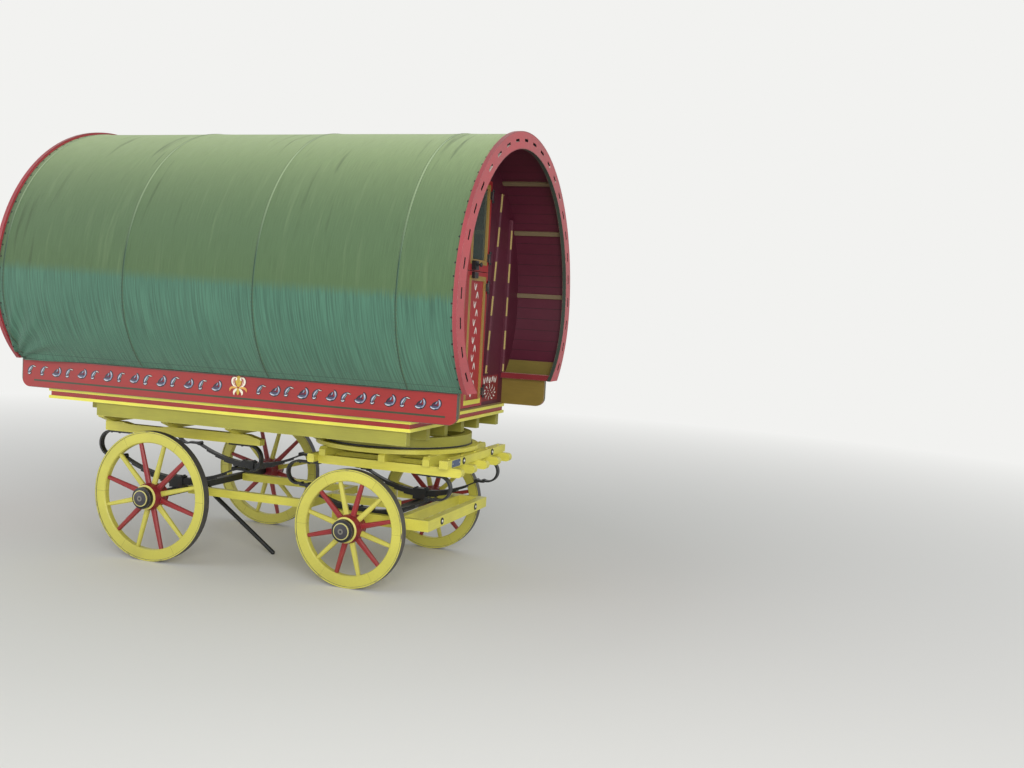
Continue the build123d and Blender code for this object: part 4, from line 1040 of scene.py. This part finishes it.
places = [((WALL_FACE_X, sign * (ZIGZAG_Y + ZIGZAG_STEP * n), ZIGZAG_Z), facing("front", 180 * (n % 2)), 1.3)
          for sign in (-1, 1) for n in range(ZIGZAG)]
set_out("wall_ticks", tick, places, enamel, "wagon")
places = []
for sign in (-1, 1):
    for ring, count, size in FLOWER_RINGS:
        for n in range(count):
            turn = 2 * math.pi * n / count
            y, z = FLOWER_WIDE * ring * math.cos(turn), FLOWER_HIGH * ring * math.sin(turn)
            spin = math.degrees(math.atan2(z, y)) - 90 + random.uniform(-20, 20)
            places.append(((WALL_FACE_X, sign * FLOWER_Y + y, FLOWER_Z + z), facing("front", spin),
                           size * random.uniform(0.8, 1.15)))
set_out("wall_petals", petal, places, enamel, "wagon")

# %% [markdown]
# ## Bolts, nuts and tacks
# Round heads are turned shapes: half an outline swept round. A square or six-sided nut is the
# same sweep with fewer sides. The pale heads in the black rings are new zinc-plated bolts, which
# glint in small crystals. The rest are painted over with the timber or iron they hold.

# %% Turned shapes
SPANGLE_MM = 4


def turned(name, profile, sides):
    """Sweep an outline of (radius, height) in mm round the Z axis, closed at both ends."""
    points = [(r * MM * math.cos(2 * math.pi * n / sides), r * MM * math.sin(2 * math.pi * n / sides), h * MM)
              for r, h in profile for n in range(sides)]
    mesh = bpy.data.meshes.new(name)
    mesh.from_pydata(points, [], tube_faces(0, len(profile), sides))
    shape = bpy.data.objects.new(name, mesh)
    scene.collection.objects.link(shape)
    return shape


zinc, tree, shader, place = new_material("zinc_plated_steel")
spangle = add(tree, "TexVoronoi", {"Vector": place, "Scale": 1 / (SPANGLE_MM * MM)})
tone = add(tree, "MapRange", [spangle, 0.0, 1.0, 0.85, 1.1])
plated = add(tree, "HueSaturation", {"Color": "#d6d6cc", "Value": tone})
feed(tree, shader, {"Base Color": plated, "Metallic": 0.6, "Roughness": 0.4})

dome = turned("dome", ((11, -1), (11, 1.5), (9.5, 4.2), (6, 6.3), (2, 7)), 12)
nut = turned("nut", ((11, -1), (11, 7), (9.6, 8.2)), 6)
tack = turned("tack", ((7, -1), (6.4, 1.2), (4, 2.6), (1.2, 3)), 8)
print("dome, nut and tack")

# %% [markdown]
# ## Where the bolts go
# Two pale bolts sit in the rings of the splinter bar and two in those of the lower bar. Coach
# bolts hold the cross bars down. Four nuts close each spring clip, and four more hang under the
# scroll irons beside it. Most places are taken from the boxes of the pieces, so they follow them.

# %% Where the bolts go
RING_PROUD, PALE_BOLT = 3.5 * MM, 0.95
CROSS_BAR_XS = (0.548, 1.019, 1.361)
COACH_BOLT_YS = (-0.5, -0.25, 0.25, 0.5)
SPLINTER_BOLT_IN = 31 * MM
splinter_low, splinter_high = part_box("splinter_bar")
places = []
# columns: bar, distance of its rings from the middle of the wagon
for bar, ring_y in (("splinter_bar", 0.290), ("lower_frame", 0.330)):
    low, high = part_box(bar)
    places += [((high.x + RING_PROUD, y, (low.z + high.z) / 2), facing("front"), PALE_BOLT)
               for y in (-ring_y, ring_y)]
set_out("pale_bolts", dome, places, zinc, "fore_carriage")

cross_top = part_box("fore_cross_bars")[1].z
places = [((x, y, cross_top), facing("up"), 1.0) for x in CROSS_BAR_XS for y in COACH_BOLT_YS]
places += [((splinter_low.x + SPLINTER_BOLT_IN, y, splinter_high.z), facing("up"), 1.0)
           for y in (*COACH_BOLT_YS, 0.0)]
set_out("coach_bolts", dome, places, paints["lemon_cross"], "fore_carriage")

NUT_SIZE = 0.9
CLIP_NUT_X, CLIP_NUT_Y, CLIP_HIGH = 42 * MM, 18 * MM, 88 * MM
IRON_NUT_IN, IRON_NUT_STEP, IRON_NUT_DOWN = 100 * MM, 75 * MM, 14 * MM
SPRING_IN = 22 * MM
for body, end in (("wagon", "rear"), ("fore_carriage", "front")):
    spring_low, spring_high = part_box(f"{end}_springs")
    iron_low, iron_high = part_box(f"{end}_scroll_irons")
    middle_x, line_y = (spring_low.x + spring_high.x) / 2, iron_high.y - SPRING_IN
    out = (iron_high.x - iron_low.x) / 2 - IRON_NUT_IN
    places = []
    for y in (-line_y, line_y):
        places += [((middle_x + dx, y + dy, spring_low.z + CLIP_HIGH), facing("up", 20), NUT_SIZE)
                   for dx in (-CLIP_NUT_X, CLIP_NUT_X) for dy in (-CLIP_NUT_Y, CLIP_NUT_Y)]
        places += [((middle_x + way * (out - step), y, iron_high.z - IRON_NUT_DOWN), facing("down"), NUT_SIZE)
                   for way in (-1, 1) for step in (0.0, IRON_NUT_STEP)]
    set_out(f"{end}_springs_nuts", nut, places, paints["iron"], body)

# %% [markdown]
# ## Seams and tacks
# Two rows of stitches follow each seam over the barrel, and flat tacks hold the cloth to the
# first and last hoop. A texture could draw them, but real stitches stand up and catch the light.
# The thread is waxed linen, dull and darker than the cloth.

# %% Stitches and tacks on the canvas
STITCH_PITCH, STITCH_ASIDE, STITCH_FOOT = 26 * MM, 9 * MM, 30 * MM
TACK_PITCH, TACK_IN, TACK_FOOT = 85 * MM, 14 * MM, 40 * MM
stitch = turned("stitch", ((0.9, -7), (1.3, 0), (0.9, 7)), 5)
thread, tree, shader, place = new_material("waxed_linen_thread")
feed(tree, shader, {"Base Color": "#4e5c44", "Roughness": 0.7})


def runs(foot, pitch):
    """Distances round the hoop at one pitch, from a little above one foot to the other."""
    return [-foot_run + foot + n * pitch for n in range(int(2 * (foot_run - foot) / pitch) + 1)]


places = []
for x in (at + aside for at in SEAM_XS for aside in (-STITCH_ASIDE, STITCH_ASIDE)):
    for run in runs(STITCH_FOOT, STITCH_PITCH):
        point, lean = on_canvas(x, run, 0.3 * MM)
        # A stitch lies along the hoop: its own length is turned from Z into the cloth.
        places.append((point, (math.pi / 2 - lean, 0, 0), 1.0))
stitches = set_out("seam_stitches", stitch, places, thread, "wagon")
places = []
for x in (cover_low.x + TACK_IN, cover_high.x - TACK_IN):
    for run in runs(TACK_FOOT, TACK_PITCH):
        point, lean = on_canvas(x, run, 0.2 * MM)
        places.append((point, (-lean, 0, 0), 1.0))
tacks = set_out("canvas_tacks", tack, places, paints["iron"], "wagon")

# %% [markdown]
# ## Hem
# The foot of the sheet is rolled into a hem round a cord. A curve with a bevel could make it, but
# a tube worked out on the canvas follows every pleat. It takes the cloth's own finish, read at
# the foot of its UV map.

# %% Hem
HEM_R = 4.2 * MM
HEM_UP = 5 * MM
HEM_SIDES = 8
HEM_STEPS = 220
hem_points, hem_faces = [], []
for side in (-1, 1):
    hem_faces += tube_faces(len(hem_points), HEM_STEPS + 1, HEM_SIDES)
    for n in range(HEM_STEPS + 1):
        x = cover_low.x + (cover_high.x - cover_low.x) * n / HEM_STEPS
        (px, py, pz), lean = on_canvas(x, side * (foot_run - HEM_UP))
        hem_points += [(px, py + HEM_R * math.cos(2 * math.pi * k / HEM_SIDES),
                        pz + HEM_R * math.sin(2 * math.pi * k / HEM_SIDES)) for k in range(HEM_SIDES)]
hem_mesh = bpy.data.meshes.new("canvas_hem")
hem_mesh.from_pydata(hem_points, [], hem_faces)
hem_uv = hem_mesh.uv_layers.new(name="cloth")
for loop in hem_mesh.loops:
    px, py, pz = hem_points[loop.vertex_index]
    hem_uv.data[loop.index].uv = (px, math.copysign(foot_run, py))
hem_mesh.materials.append(canvas_mesh.materials[0])
hem = fasten(bpy.data.objects.new("canvas_hem", hem_mesh), "wagon")
print("hem", len(hem_faces), "faces")

# %% [markdown]
# ## Small ironwork
# The lock is a rim lock with a round knob and two small covers. A small blank plate of enamelled
# iron is screwed to the splinter bar, its blue faded by the sun.

# %% Lock furniture and blank plate
KNOB_Y, KNOB_Z, COVER_Y, COVER_ZS = 12 * MM, 6 * MM, -22 * MM, (-22 * MM, 20 * MM)
PLATE_WIDE, PLATE_HIGH, PLATE_THICK, PLATE_Y = 0.150, 0.048, 2.5 * MM, -0.437
PLATE_CORNER, CORNER_STEPS, SCREW_Y = 8 * MM, 3, 62 * MM
knob = turned("knob", ((17, -1), (17, 2), (7, 4), (6, 14), (15, 20), (18, 27), (14, 33), (4, 36)), 16)
cover = turned("cover", ((8, -1), (8, 2.5), (5, 4), (1, 4.4)), 12)
latch_low, latch_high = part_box("door_latch")
lock_y, lock_z = (latch_low.y + latch_high.y) / 2, (latch_low.z + latch_high.z) / 2
places = [((latch_high.x, lock_y + KNOB_Y, lock_z + KNOB_Z), facing("front"), 1.0)]
set_out("lock_knob", knob, places, paints["iron"], "door_upper_left")
places = [((latch_high.x, lock_y + COVER_Y, lock_z + dz), facing("front"), 1.0) for dz in COVER_ZS]
set_out("lock_covers", cover, places, paints["iron"], "door_upper_left")

plate_x, plate_z = splinter_high.x, (splinter_low.z + splinter_high.z) / 2
rim = []
for sy, sz, start in ((1, 1, 0), (-1, 1, 90), (-1, -1, 180), (1, -1, 270)):
    for step in range(CORNER_STEPS + 1):
        angle = math.radians(start + 90 / CORNER_STEPS * step)
        rim.append((PLATE_Y + sy * (PLATE_WIDE / 2 - PLATE_CORNER) + PLATE_CORNER * math.cos(angle),
                    plate_z + sz * (PLATE_HIGH / 2 - PLATE_CORNER) + PLATE_CORNER * math.sin(angle)))
plate_mesh = bpy.data.meshes.new("blank_plate")
plate_mesh.from_pydata([(x, y, z) for x in (plate_x, plate_x + PLATE_THICK) for y, z in rim], [],
                       tube_faces(0, 2, len(rim)))
plate_mesh.materials.append(black_iron("faded_blue_plate", "#4c5c7c", "#a4acb4", "#5c6880", 0.5))
fasten(bpy.data.objects.new("blank_plate", plate_mesh), "fore_carriage")
places = [((plate_x + PLATE_THICK, PLATE_Y + dy, plate_z), facing("front"), 0.6)
          for dy in (-SCREW_Y, SCREW_Y)]
set_out("plate_screws", cover, places, zinc, "fore_carriage")

for shape in (standing_leaf, lying_leaf, fleur, tick, petal, dome, nut, tack, stitch, knob, cover):
    bpy.data.objects.remove(shape)
print("ironwork done")
